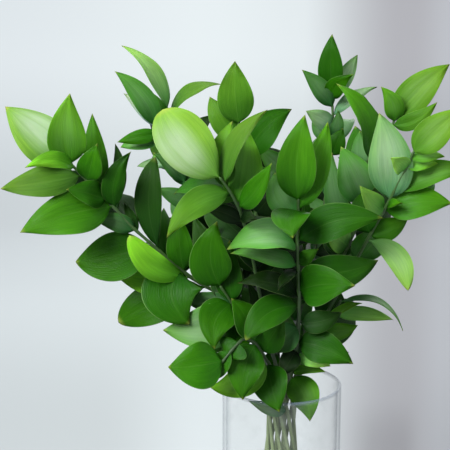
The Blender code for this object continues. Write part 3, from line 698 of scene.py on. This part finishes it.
class Tree:
    """Short ways to add nodes to one material."""

    def __init__(self, name):
        self.material = bpy.data.materials.new(name)
        self.material.use_nodes = True
        self.nodes = self.material.node_tree.nodes
        self.shader = self.nodes["Principled BSDF"]
        self.place = self.add("TexCoord", out=3)

    def put(self, value, socket):
        if isinstance(value, bpy.types.NodeSocket):
            self.material.node_tree.links.new(value, socket)
        elif socket.type == "RGBA" and len(value) == 3:
            socket.default_value = (*value, 1)
        else:
            socket.default_value = value

    def add(self, kind, *values, out=0, **settings):
        made = self.nodes.new("ShaderNode" + kind)
        for name, value in settings.items():
            setattr(made, name, value)
        sockets = [socket for socket in made.inputs if socket.enabled]
        for socket, value in zip(sockets, values):
            if value is not None:
                self.put(value, socket)
        outputs = [socket for socket in made.outputs if socket.enabled]
        return outputs[out]

    def split(self, vector):
        made = self.nodes.new("ShaderNodeSeparateXYZ")
        self.put(vector, made.inputs[0])
        return made.outputs

    def math(self, operation, *values):
        return self.add("Math", *values, operation=operation)

    def times(self, first, second):
        return self.math("MULTIPLY", first, second)

    def scaled(self, value, factor, more):
        """The value times the factor, and more added to it."""
        return self.math("MULTIPLY_ADD", value, factor, more)

    def span(self, value, low, high, to_low=0.0, to_high=1.0):
        """How far the value is on its smooth way from low to high."""
        return self.add(
            "MapRange", value, low, high, to_low, to_high, interpolation_type="SMOOTHSTEP"
        )

    def mix(self, share, first, second, blend="MIX"):
        return self.add("Mix", share, first, second, data_type="RGBA", blend_type=blend)

    def tint(self, colour, share, factors):
        """The colour, with a share of it multiplied by the factors."""
        return self.mix(share, colour, self.mix(1.0, colour, factors, "MULTIPLY"))

    def noise(self, place, scale, detail):
        return self.add("TexNoise", place, scale, detail)

    def bump(self, strength, height, relief, below=None):
        return self.add("Bump", strength, height, None, relief, below)

    def set(self, **values):
        for name, value in values.items():
            self.put(value, self.shader.inputs[name.replace("_", " ")])


def leaf_material():
    tree = Tree("ruscus_leaf")
    across, along, _ = tree.split(tree.add("UVMap", uv_map="blade"))
    side = tree.scaled(across, 2.0, -1.0)
    out = tree.math("ABSOLUTE", side)
    tone = tree.add("Attribute", attribute_name="leaf_tone", out=0)
    draw, under, bloom, streak, yellow, lean = (
        tree.add("Attribute", attribute_name=name, out=2) for name in LEAF_VALUES[1:]
    )

    # Long streaks between the parallel veins, which run together at both ends of the blade
    lane = tree.add("CombineXYZ", tree.times(side, 3.2), along, tree.times(draw, 40.0))
    streaks = tree.span(tree.noise(lane, 2.6, 3.0), 0.38, 0.72)
    fine_lane = tree.add(
        "CombineXYZ", tree.times(side, 13.0), tree.times(along, 0.9), tree.times(draw, 90.0)
    )
    fine = tree.span(tree.noise(fine_lane, 2.4, 2.0), 0.42, 0.66)
    veins = tree.math("POWER", tree.math("SINE", tree.times(side, 57.0)), 2.0)
    colour = tree.tint(tone, tree.times(streaks, tree.times(streak, 0.8)), (1.75, 1.5, 1.5))
    colour = tree.tint(colour, tree.times(fine, 0.28), (0.62, 0.72, 0.6))
    blotch = tree.span(tree.noise(tree.place, 42.0, 3.0), 0.35, 0.7)
    colour = tree.tint(colour, tree.times(blotch, 0.3), (0.7, 0.82, 0.85))

    # Darker and cooler towards the foot, partly the blade's own colour and partly painted shade where
    # the leaves overlap, warmer towards the tip, and one half painted in shade as if the blade were
    # folded along its midrib; a pale midrib, thin pale margins and a yellow point
    # The blade's own darker foot together with painted shade where leaves overlap
    foot = tree.span(along, 0.55, 0.0)
    colour = tree.tint(colour, tree.times(foot, 0.65), (0.42, 0.66, 1.0))
    warmth = tree.times(tree.span(along, 0.35, 0.95), tree.scaled(bloom, -0.55, 0.6))
    colour = tree.tint(colour, warmth, (1.40, 1.18, 0.75))
    # Painted shade on one half of the blade; which half is drawn for each leaf
    painted_half_shade = tree.times(tree.span(side, -0.12, 0.12, -1.0, 1.0), tree.scaled(draw, 2.0, -1.0))
    colour = tree.tint(colour, tree.span(painted_half_shade, 0.0, 1.0, 0.0, 0.35), (0.58, 0.70, 0.72))
    rib = tree.times(tree.span(out, 0.035, 0.008), tree.span(along, 1.0, 0.5, 0.1, 0.6))
    pale = tree.mix(0.45, colour, (0.42, 0.62, 0.22))
    colour = tree.mix(tree.times(rib, 0.15), colour, pale)
    margin = tree.span(out, 0.95, 0.995)
    colour = tree.mix(tree.times(margin, 0.45), colour, pale)
    point = tree.times(tree.span(along, 0.93, 0.995), yellow)
    colour = tree.mix(point, colour, (0.50, 0.55, 0.10))

    # A painted sheen, a pale painted highlight, on the middle of the blade, and a duller underside
    # The painted sheen is moved towards one edge by the tone's side value
    off = tree.math("ABSOLUTE", tree.math("SUBTRACT", side, lean))
    lengthwise = tree.times(tree.span(along, 0.1, 0.45), tree.span(along, 0.98, 0.6))
    middle = tree.times(tree.span(off, 1.0, 0.25), lengthwise)
    patchy = tree.span(tree.noise(lane, 1.1, 2.0), 0.3, 0.6, 0.55, 1.0)
    sheen_share = tree.times(tree.times(middle, bloom), patchy)
    colour = tree.mix(sheen_share, colour, tree.mix(0.7, tone, (0.72, 0.86, 0.66)))
    dull = tree.mix(0.40, colour, (0.20, 0.34, 0.14))
    green = tree.add("SeparateColor", tone, out=1)
    dullness = tree.times(under, tree.span(green, 0.02, 0.14, 0.0, 0.75))
    colour = tree.mix(dullness, colour, dull)

    rough = tree.scaled(under, 0.2, tree.scaled(streaks, 0.12, 0.30))
    relief = tree.scaled(veins, 0.35, tree.times(fine, 0.8))
    arch = tree.math("SUBTRACT", 1.0, tree.times(side, side))
    normal = tree.bump(ARCH_SHADE, 0.004, arch, tree.bump(0.35, 0.0004, relief))
    tree.set(
        Base_Color=colour, Roughness=rough, Normal=normal, Specular_IOR_Level=0.09,
        Subsurface_Weight=0.1, Subsurface_Radius=(0.5, 1.0, 0.15), Subsurface_Scale=0.002,
    )
    return tree.material


def stem_material():
    """Dark in the crown, darker still lower in the bunch, which is painted shade, pale in the vase.
    """
    tree = Tree("ruscus_stem")
    height = tree.split(tree.place)[2]
    around, along, _ = tree.split(tree.add("UVMap", uv_map="stem"))
    lines = tree.add("CombineXYZ", tree.times(around, 30.0), tree.times(along, 0.35), 0.0)
    grain = tree.span(tree.noise(lines, 1.0, 3.0), 0.35, 0.7)
    low = tree.span(height, NECK_HEIGHT + 0.03, WAIST_HEIGHT - 0.02)
    # Painted shade on the stems lower down in the bunch
    painted_bunch_shade = tree.span(height, VASE_HEIGHT + 0.14, VASE_HEIGHT + 0.06)
    colour = tree.mix(painted_bunch_shade, (0.052, 0.125, 0.027), (0.030, 0.075, 0.018))
    colour = tree.mix(low, colour, (0.26, 0.35, 0.17))
    colour = tree.tint(colour, tree.times(grain, 0.5), (1.7, 1.5, 1.4))
    patches = tree.span(tree.noise(tree.place, 55.0, 3.0), 0.4, 0.7)
    colour = tree.tint(colour, tree.times(patches, 0.35), (0.6, 0.7, 0.55))
    normal = tree.bump(0.4, 0.0003, grain)
    tree.set(Base_Color=colour, Roughness=tree.scaled(patches, 0.15, 0.36), Normal=normal)
    return tree.material


def uneven(tree, scale, strength, start):
    """A slightly uneven surface's normal, and how near it is to being seen edge on."""
    normal = tree.bump(strength, 0.002, tree.noise(tree.place, scale, 1.0))
    facing = tree.add("LayerWeight", 0.5, normal, out=1)
    return normal, tree.span(facing, start, 1.0)


def glass_material():
    """Clear where it is seen face on, blue-grey at grazing angles and along the rim: partly the
    glass's own tint through its thickness and partly painted reflection.
    """
    tree = Tree("vase_glass")
    height = tree.split(tree.place)[2]
    normal, edge = uneven(tree, 14.0, 0.03, 0.45)
    rim = tree.span(height, VASE_HEIGHT - 0.0045, VASE_HEIGHT - 0.0010)
    # Blue-grey edge and rim: the glass's tint and painted reflection together
    colour = tree.mix(edge, (0.80, 0.86, 0.90), (0.42, 0.49, 0.58))
    colour = tree.mix(rim, colour, (0.30, 0.38, 0.52))
    smear = tree.span(tree.noise(tree.place, 60.0, 4.0), 0.5, 0.8, 0.03, 0.09)
    rough = tree.scaled(smear, 0.3, 0.02)
    alpha = tree.scaled(tree.math("POWER", edge, 1.6), 0.55, smear)
    alpha = tree.math("MAXIMUM", alpha, tree.times(rim, 0.36))
    tree.set(Base_Color=colour, Roughness=rough, Normal=normal, Alpha=alpha, IOR=1.45)
    return tree.material


def water_material():
    """Clear, with a faint cool tint that deepens where the sight line grazes the surface."""
    tree = Tree("vase_water")
    normal, edge = uneven(tree, 26.0, 0.02, 0.5)
    colour = tree.mix(edge, (0.66, 0.77, 0.76), (0.48, 0.58, 0.60))
    alpha = tree.scaled(edge, 0.28, 0.07)
    tree.set(Base_Color=colour, Roughness=0.02, Normal=normal, Alpha=alpha, IOR=1.33)
    return tree.material


def stage_material():
    """Pale and softly lit from inside, with a soft grey shadow that widens away to the right."""
    tree = Tree("pale_stage")
    right, behind, height = tree.split(tree.place)
    colour = tree.mix(tree.span(right, -1.1, 0.0), (0.70, 0.75, 0.78), (0.79, 0.85, 0.87))
    edge = tree.scaled(behind, -SHADOW_SLANT, right)
    widening = tree.math("MAXIMUM", tree.math("ADD", behind, 1.0), 0.6)
    fan = tree.math("DIVIDE", tree.math("SUBTRACT", edge, SHADOW_START), widening)
    there = tree.span(behind, -0.6, 0.35)
    faint = tree.times(tree.span(fan, -0.16, -0.02), 0.12)
    shadow = tree.math("MAXIMUM", faint, tree.span(fan, -0.07, 0.05))
    colour = tree.mix(tree.times(there, shadow), colour, (0.43, 0.43, 0.46))
    # Painted light: further to the right, beyond the painted shadow, the grey lightens a little
    beyond = tree.times(there, tree.times(tree.span(fan, 0.060, 0.100), 0.75))
    colour = tree.mix(beyond, colour, (0.51, 0.53, 0.57))

    # Dimmer in front, more so at the left, and in the corner where the shadow sets out
    left = tree.scaled(tree.span(fan, -0.14, -0.26), 0.18, 0.06)
    colour = tree.mix(tree.times(tree.span(behind, 1.3, 0.4), left), colour, BLACK)
    corner = tree.times(tree.span(fan, -0.01, 0.03), tree.span(fan, 0.08, 0.055))
    corner = tree.times(corner, tree.span(behind, 0.62, 0.40))
    colour = tree.mix(tree.times(corner, tree.times(there, 0.18)), colour, BLACK)

    high, far = tree.span(height, -0.1, 0.55, 0.40, 0.72), tree.span(behind, 1.2, 1.95, 0.0, 0.05)
    rough = tree.scaled(tree.noise(tree.place, 2.0, 2.0), 0.1, 0.8)
    tree.set(
        Base_Color=tree.mix(0.55, colour, BLACK), Roughness=rough, Emission_Color=colour,
        Emission_Strength=tree.math("ADD", high, far),
    )
    return tree.material


# Finished meshes


def smooth_object(name, points, faces, finish, outwards=True):
    """An object of smooth faces, all turned outwards unless they already lie as they should."""
    mesh = bpy.data.meshes.new(name)
    mesh.from_pydata(points, [], faces)
    if outwards:
        work = bmesh.new()
        work.from_mesh(mesh)
        bmesh.ops.recalc_face_normals(work, faces=work.faces)
        work.to_mesh(mesh)
        work.free()
    for face in mesh.polygons:
        face.use_smooth = True
    mesh.materials.append(finish)
    made = bpy.data.objects.new(name, mesh)
    bpy.context.scene.collection.objects.link(made)
    return made


def circles(profile, steps):
    """Points round the Z axis, a circle for each (radius, height) of the profile."""
    angles = [2 * math.pi * i / steps for i in range(steps)]
    return [(r * math.cos(a), r * math.sin(a), height) for r, height in profile for a in angles]


class MeshMaker:
    """Gathers points with their values, and faces, into one mesh."""

    def __init__(self):
        self.points, self.faces, self.uvs, self.values = [], [], [], []

    def add(self, point, u, v, *values):
        self.points.append(point)
        self.uvs.append((u, v))
        self.values.append(values)
        return len(self.points) - 1

    def join(self, before, now):
        """Faces from a closed row of points to the next one, or the cap before the first row."""
        if before:
            self.faces += zip(before, before[1:], now[1:], now)
        else:
            self.faces.append(tuple(now[:-1]))

    def make(self, name, uv_name, kinds, finish):
        made = smooth_object(name, self.points, self.faces, finish)
        layer = made.data.uv_layers.new(name=uv_name)
        for loop in made.data.loops:
            layer.data[loop.index].uv = self.uvs[loop.vertex_index]
        for kind, values in zip(kinds, zip(*self.values)):
            if kind == "leaf_tone":
                attribute = made.data.attributes.new(kind, "FLOAT_COLOR", "POINT")
                attribute.data.foreach_set("color", [x for tone in values for x in (*tone, 1)])
            else:
                attribute = made.data.attributes.new(kind, "FLOAT", "POINT")
                attribute.data.foreach_set("value", values)
        return made


# Fine leaves

BLADE_ROWS = 30
ROW_CROWDING = 1.15  # above 1 the rows stand closer towards the tip
BLADE_COLUMNS = 14
LEAF_THICKNESS = 0.6 * MM
EDGE_THICKNESS = 0.25 * MM
RIB_DEPTH = 0.35 * MM
RIB_WIDTH = 0.04
SWELL = 1.1 * MM  # how far the blade's face swells and dips
MARGIN_WAVE = 0.035  # over the blade's width
MARGIN_WAVES = 1.7  # along the blade
TIP_CURL = 0.035  # over the blade's length
CURL_START = 0.72  # place along the blade


def fine_point(blade, s, t, lift, wave, phase):
    """A point of the finished blade: the plain one's surface, gently swollen and dipped, with a
    grooved midrib, a slightly waved margin and a tip that curls back."""
    point = blade.point(s, t, lift)
    half = blade.half_width(s)
    groove = -RIB_DEPTH * math.exp(-((t / RIB_WIDTH) ** 2)) * min(1, (1 - s) * 4, s * 8)
    turns = math.sin(2 * math.pi * s * MARGIN_WAVES + phase + t * 0.9)
    bend = wave * blade.width * abs(t) ** 2.5 * turns
    bend *= min(1, half / (0.4 * blade.width + 1e-9))
    curl = -TIP_CURL * blade.length * max(0, (s - CURL_START) / (1 - CURL_START)) ** 2
    swell = SWELL * noise.noise(Vector((s * 2.6, t * 1.3, phase * 3))) * min(1, s * 5)
    return point + blade.face * (groove + bend + curl + swell)


def add_fine_blade(maker, blade, tone, draw):
    """The finished blade: rings of points round it from foot to tip, closed by a point."""
    wave = MARGIN_WAVE * draw.uniform(0.4, 1.2)
    phase = draw.uniform(0, 2 * math.pi)
    number = draw.random()
    shift = draw.uniform(0.88, 1.12)
    colour = tuple(x * shift for x in tone.colour)

    def add(s, t, side):
        """A point of the upper side (1) or the underside (-1), with the values of LEAF_VALUES."""
        thick = EDGE_THICKNESS + (LEAF_THICKNESS - EDGE_THICKNESS) * (1 - abs(t) ** 3)
        point = fine_point(blade, s, t, side * thick / 2, wave, phase)
        looks = (colour, number, (1 - side) / 2, tone.bloom, tone.streak, tone.tip, tone.side)
        return maker.add(point, (t + 1) / 2, s, *looks)

    across = [math.sin(math.pi * (i / BLADE_COLUMNS - 0.5)) for i in range(BLADE_COLUMNS + 1)]
    ring = [(t, 1) for t in across] + [(t, -1) for t in reversed(across)]
    before = None
    for row in range(BLADE_ROWS):
        s = 1 - (1 - row / BLADE_ROWS) ** ROW_CROWDING
        now = [add(s, t, side) for t, side in ring]
        now.append(now[0])
        maker.join(before, now)
        before = now
    tip = add(1, 0, 0)
    maker.faces += [(a, b, tip) for a, b in zip(before, before[1:])]


# Fine stems

STEM_SIDES = 12
STEM_STEP = 3 * MM
CORNER_SHARE = 0.3
CORNER_STEPS = 5
KNOT_SWELL = 0.35 * MM
KNOT_LENGTH = 2.6 * MM
GRAIN_PER_METRE = 40


def rounded(route):
    """The route with its corners rounded, as (point, place along the route's numbers)."""
    made = [(route[0], 0.0)]
    for i in range(1, len(route) - 1):
        corner = route[i]
        start = corner.lerp(route[i - 1], CORNER_SHARE)
        end = corner.lerp(route[i + 1], CORNER_SHARE)
        for step in range(CORNER_STEPS + 1):
            t = step / CORNER_STEPS
            point = start.lerp(corner, t).lerp(corner.lerp(end, t), t)
            made.append((point, i + CORNER_SHARE * (2 * t - 1)))
    made.append((route[-1], float(len(route) - 1)))
    return made


def sampled(path):
    """Points at even small steps along the path."""
    made = [path[0]]
    for (a, at_a), (b, at_b) in zip(path, path[1:]):
        count = max(1, round((b - a).length / STEM_STEP))
        for step in range(1, count + 1):
            made.append((a.lerp(b, step / count), at_a + (at_b - at_a) * step / count))
    return made


def make_fine_stem(name, route, feet, finish):
    """A round stem with a knuckle at the foot of each leaf and a blunt bud at its end."""
    path = sampled(rounded(route))
    maker = MeshMaker()
    aside = Vector((1, 0, 0))
    length = 0.0
    before = None
    for k, (point, place) in enumerate(path):
        ahead = path[min(k + 1, len(path) - 1)][0] - path[max(k - 1, 0)][0]
        ahead.normalize()
        aside = (aside - ahead * aside.dot(ahead)).normalized()
        up = ahead.cross(aside)
        if k:
            length += (point - path[k - 1][0]).length
        near = min(((point - foot).length for foot in feet), default=1.0)
        radius = stem_radius(route, place) + KNOT_SWELL * math.exp(-((near / KNOT_LENGTH) ** 2))
        if place > len(route) - 2:
            radius *= min(1, 0.25 + (route[-1] - point).length / STEM_BUD)
        now = []
        for i in range(STEM_SIDES + 1):
            angle = 2 * math.pi * i / STEM_SIDES
            spot = point + (aside * math.cos(angle) + up * math.sin(angle)) * radius
            now.append(maker.add(spot, i / STEM_SIDES, length * GRAIN_PER_METRE))
        maker.join(before, now)
        before = now
    maker.faces.append(tuple(reversed(before[:-1])))
    return maker.make(name, "stem", (), finish)


# Fine vase and water

TURN_STEPS = 160
WATER_LAP = 0.1 * MM  # how far the water reaches into the glass, so that no air shows between
MENISCUS_RISE = 1.2 * MM
MENISCUS_FADE = 1.4 * MM
MENISCUS_REACH = 5 * MM
MENISCUS_STEPS = 8


def turned_piece(name, profile, finish):
    """A smooth solid turned round the Z axis from (radius, height) points, its ends on the axis."""
    (_, first_height), *middle, (_, last_height) = profile
    points = [(0, 0, first_height)] + circles(middle, TURN_STEPS) + [(0, 0, last_height)]
    faces = []
    for start in range(1, len(points) - 1 - TURN_STEPS, TURN_STEPS):
        for i in range(TURN_STEPS):
            a, b = start + i, start + (i + 1) % TURN_STEPS
            faces.append((a, b, b + TURN_STEPS, a + TURN_STEPS))
    last = len(points) - 1
    for i in range(TURN_STEPS):
        j = (i + 1) % TURN_STEPS
        faces.append((0, 1 + i, 1 + j))
        faces.append((last, last - TURN_STEPS + i, last - TURN_STEPS + j))
    return smooth_object(name, points, faces, finish)


def make_vase(finish):
    vase = turned_piece("clear_vase", vase_profile(8, 12, 6), finish)
    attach(vase, "root")
    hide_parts("glass_vase")


def make_water(finish):
    inner = VASE_RADIUS - VASE_WALL + WATER_LAP
    bottom = VASE_FLOOR - WATER_LAP
    profile = [(0, WATER_HEIGHT)]
    for i in range(MENISCUS_STEPS + 1):
        back = MENISCUS_REACH * (1 - i / MENISCUS_STEPS)
        rise = MENISCUS_RISE * math.exp(-back / MENISCUS_FADE)
        profile.append((inner - back, WATER_HEIGHT + rise))
    profile += arc((inner - VASE_CORNER, bottom + VASE_CORNER), VASE_CORNER, 0, -90, 8)
    profile += [(0, bottom)]
    water = turned_piece("still_water", profile, finish)
    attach(water, "root")
    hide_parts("water")


# Inner leaves: more of the small leaves deep in the bunch than the CAD's solids hold, in dark tones
# that add painted shade to the shade they lie in. From the front they show only in the heart of the
# crown, never before a leaf of STEMS and never in one of the openings through which the background
# is seen. All places here are (right, down) as seen.
INNER_TRIES = 180  # for each stem
INNER_GROWTH = Growth((0.34, 0.86), (44, 70), (0.42, 0.54), (-50, 50))
# Dark tones, which are painted shade
INNER_TONES = ("night", "dark", "dark", "deep")
HEART = [
    (160, 184), (183, 184), (203, 180), (226, 192), (252, 152), (262, 146), (282, 158), (300, 150),
    (318, 150), (331, 128), (345, 126), (356, 128), (372, 160), (376, 214), (352, 262), (338, 292),
    (308, 345), (297, 376), (258, 378), (236, 352), (208, 354), (196, 312), (190, 300), (206, 284),
    (206, 236), (192, 234), (186, 216), (164, 200),
]
OPENINGS = [  # with their radius
    (213, 219, 7), (237, 225, 4), (248, 342, 6), (269, 366, 4), (323, 173, 7), (169, 208, 7),
]
LOOKED_ALONG = (0.2, 0.45, 0.7, 0.95)  # places on a blade that are looked at
LOOKED_ACROSS = (-0.8, 0, 0.8)


def in_heart(place):
    """True if the heart of the crown is seen at that place, and not one of its openings."""
    if any((place - Vector(spot[:2])).length < spot[2] for spot in OPENINGS):
        return False
    inside = False
    for (x0, y0), (x1, y1) in zip(HEART, HEART[1:] + HEART[:1]):
        if (y0 > place.y) != (y1 > place.y):
            inside ^= place.x < x0 + (x1 - x0) * (place.y - y0) / (y1 - y0)
    return inside


def well_hidden(blade, seen_trees, all_trees):
    """True if the blade hides no leaf of STEMS and shows only in the heart of the crown."""
    for spot in [blade.point(s, t, 0) for s in LOOKED_ALONG for t in LOOKED_ACROSS]:
        ahead = (spot - EYE).normalized()
        if any(tree.ray_cast(spot, -ahead)[0] for tree in all_trees):
            continue
        if not in_heart(as_seen(spot)):
            return False
        if any(tree.ray_cast(spot + ahead * MM, ahead)[0] for tree in seen_trees):
            return False
    return True


def inner_leaf(draw, route):
    """A leaf that grows to any side from somewhere along the stem."""
    foot, onward = on_route(route, len(route) * draw.uniform(*INNER_GROWTH.reach))
    aside = onward.orthogonal().normalized()
    angle = draw.uniform(0, 2 * math.pi)
    outward = aside * math.cos(angle) + onward.cross(aside) * math.sin(angle)
    length = draw.uniform(*INNER_GROWTH.lengths) * MM
    way = onward * draw.uniform(0.3, 0.7) + outward
    return grown_leaf(draw, INNER_GROWTH, foot, way, length)


def make_inner_leaves(blades, tubes, finish):
    draw = random.Random("inner leaves")
    seen_trees, all_trees = [], list(tubes.values())
    for name, own in blades.items():
        for blade in own:
            tree = blade.tree()
            all_trees.append(tree)
            if blade.leaf in STEMS[name].leaves:
                seen_trees.append(tree)
    maker = MeshMaker()
    for name in list(STEMS) * INNER_TRIES:
        route = stem_route(STEMS[name])
        blade = blade_for(inner_leaf(draw, route), route, 0, 0, 1)
        others = [tree for tree in all_trees if tree is not tubes[name]]
        if crosses(blade, [], others) or not well_hidden(blade, seen_trees, all_trees):
            continue
        all_trees.append(blade.tree())
        add_fine_blade(maker, blade, TONES[draw.choice(INNER_TONES)], draw)
    leaves = maker.make("inner_leaves", "blade", LEAF_VALUES, finish)
    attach(leaves, "root")


def make_bunch():
    """Places the plain blades as the CAD source does, then makes the finished ones from them."""
    trial = bpy.data.collections.new("trial")
    bpy.context.scene.collection.children.link(trial)
    glass = tree_of(plain_vase_mesh(trial))
    tubes = {name: tree_of(tube_mesh(stem_route(stem), trial)) for name, stem in STEMS.items()}
    for thing in list(trial.objects):
        bpy.data.objects.remove(thing)
    bpy.data.collections.remove(trial)
    blades = settle_all(STEMS, tubes, glass)

    leaf_finish = leaf_material()
    stem_finish = stem_material()
    make_inner_leaves(blades, tubes, leaf_finish)
    for name, stem in STEMS.items():
        short = name.replace("leafy_stem_", "")
        draw = random.Random("looks of " + name)
        seen_tones, fill_tone = stem.tones.split(" / ")
        tone_of = dict(zip(stem.leaves, seen_tones.split()))
        maker = MeshMaker()
        for blade in blades[name]:
            add_fine_blade(maker, blade, TONES[tone_of.get(blade.leaf, fill_tone)], draw)
        leaves = maker.make("leaves_" + short, "blade", LEAF_VALUES, leaf_finish)
        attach(leaves, "root")
        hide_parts(name)
        feet = [blade.foot for blade in blades[name]]
        twig = make_fine_stem("stem_" + short, stem_route(stem), feet, stem_finish)
        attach(twig, "root")
        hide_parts(name)


# Stage and light, in metres

FLOOR_RADIUS = 2.2
SWEEP_RADIUS = 1.0
SWEEP_STEPS = 12
STAGE_HEIGHT = 2.2
SHADOW_SLANT = 0.121  # how far its edge runs to the right for each metre behind
SHADOW_START = 70 * MM
DOME_RISE = 2.0
DOME_END = 88  # degrees
DOME_STEPS = 12
STAGE_STEPS = 96


def make_stage():
    """A round pale floor that sweeps up into a wall all round."""
    line = [(FLOOR_RADIUS * share, 0.0) for share in (0.1, 0.3, 0.6, 0.9)]
    line += arc((FLOOR_RADIUS, SWEEP_RADIUS), SWEEP_RADIUS, -90, 0, SWEEP_STEPS)
    for i in range(DOME_STEPS + 1):
        angle = math.radians(DOME_END) * i / DOME_STEPS
        wide = FLOOR_RADIUS + SWEEP_RADIUS
        line.append((wide * math.cos(angle), STAGE_HEIGHT + DOME_RISE * math.sin(angle)))
    points = circles(line, STAGE_STEPS)
    top = len(points) - STAGE_STEPS
    faces = [tuple(range(STAGE_STEPS)), tuple(reversed(range(top, top + STAGE_STEPS)))]
    for start in range(0, top, STAGE_STEPS):
        for i in range(STAGE_STEPS):
            a, b = start + i, start + (i + 1) % STAGE_STEPS
            faces.append((a, a + STAGE_STEPS, b + STAGE_STEPS, b))
    made = smooth_object("pale_stage", points, faces, stage_material(), outwards=False)
    made.visible_diffuse = False
    made.visible_shadow = False


# place, width and height, watts and colour of each
LIGHTS = {
    "window": ((-1.5, -1.35, 1.75), 1.3, 79, (0.98, 1.0, 0.99)),
    "sky": ((0.1, 0.5, 2.4), 2.0, 34, (0.96, 0.99, 1.0)),
    "room": ((1.8, -1.4, 0.8), 1.4, 7, (1.0, 0.98, 0.95)),
    "back": ((0.9, 2.2, 1.3), 1.6, 14, (0.97, 0.99, 1.0)),
}
LIT = Vector((0.0, 0.0, 0.42))  # what they face
SURROUND = (0.86, 0.91, 0.95, 1)
SURROUND_STRENGTH = 0.16


def make_light():
    for name, (place, size, power, colour) in LIGHTS.items():
        data = bpy.data.lights.new(name, "AREA")
        data.shape = "RECTANGLE"
        data.size = data.size_y = size
        data.energy = power
        data.color = colour
        light = bpy.data.objects.new(name, data)
        light.location = place
        light.rotation_euler = (LIT - Vector(place)).to_track_quat("-Z", "Y").to_euler()
        bpy.context.scene.collection.objects.link(light)
    world = bpy.data.worlds.new("studio")
    bpy.context.scene.world = world
    world.use_nodes = True
    background = world.node_tree.nodes["Background"]
    background.inputs["Color"].default_value = SURROUND
    background.inputs["Strength"].default_value = SURROUND_STRENGTH
    bpy.context.scene.view_settings.view_transform = "Standard"


make_camera()
make_stage()
make_light()
make_vase(glass_material())
make_water(water_material())
make_bunch()
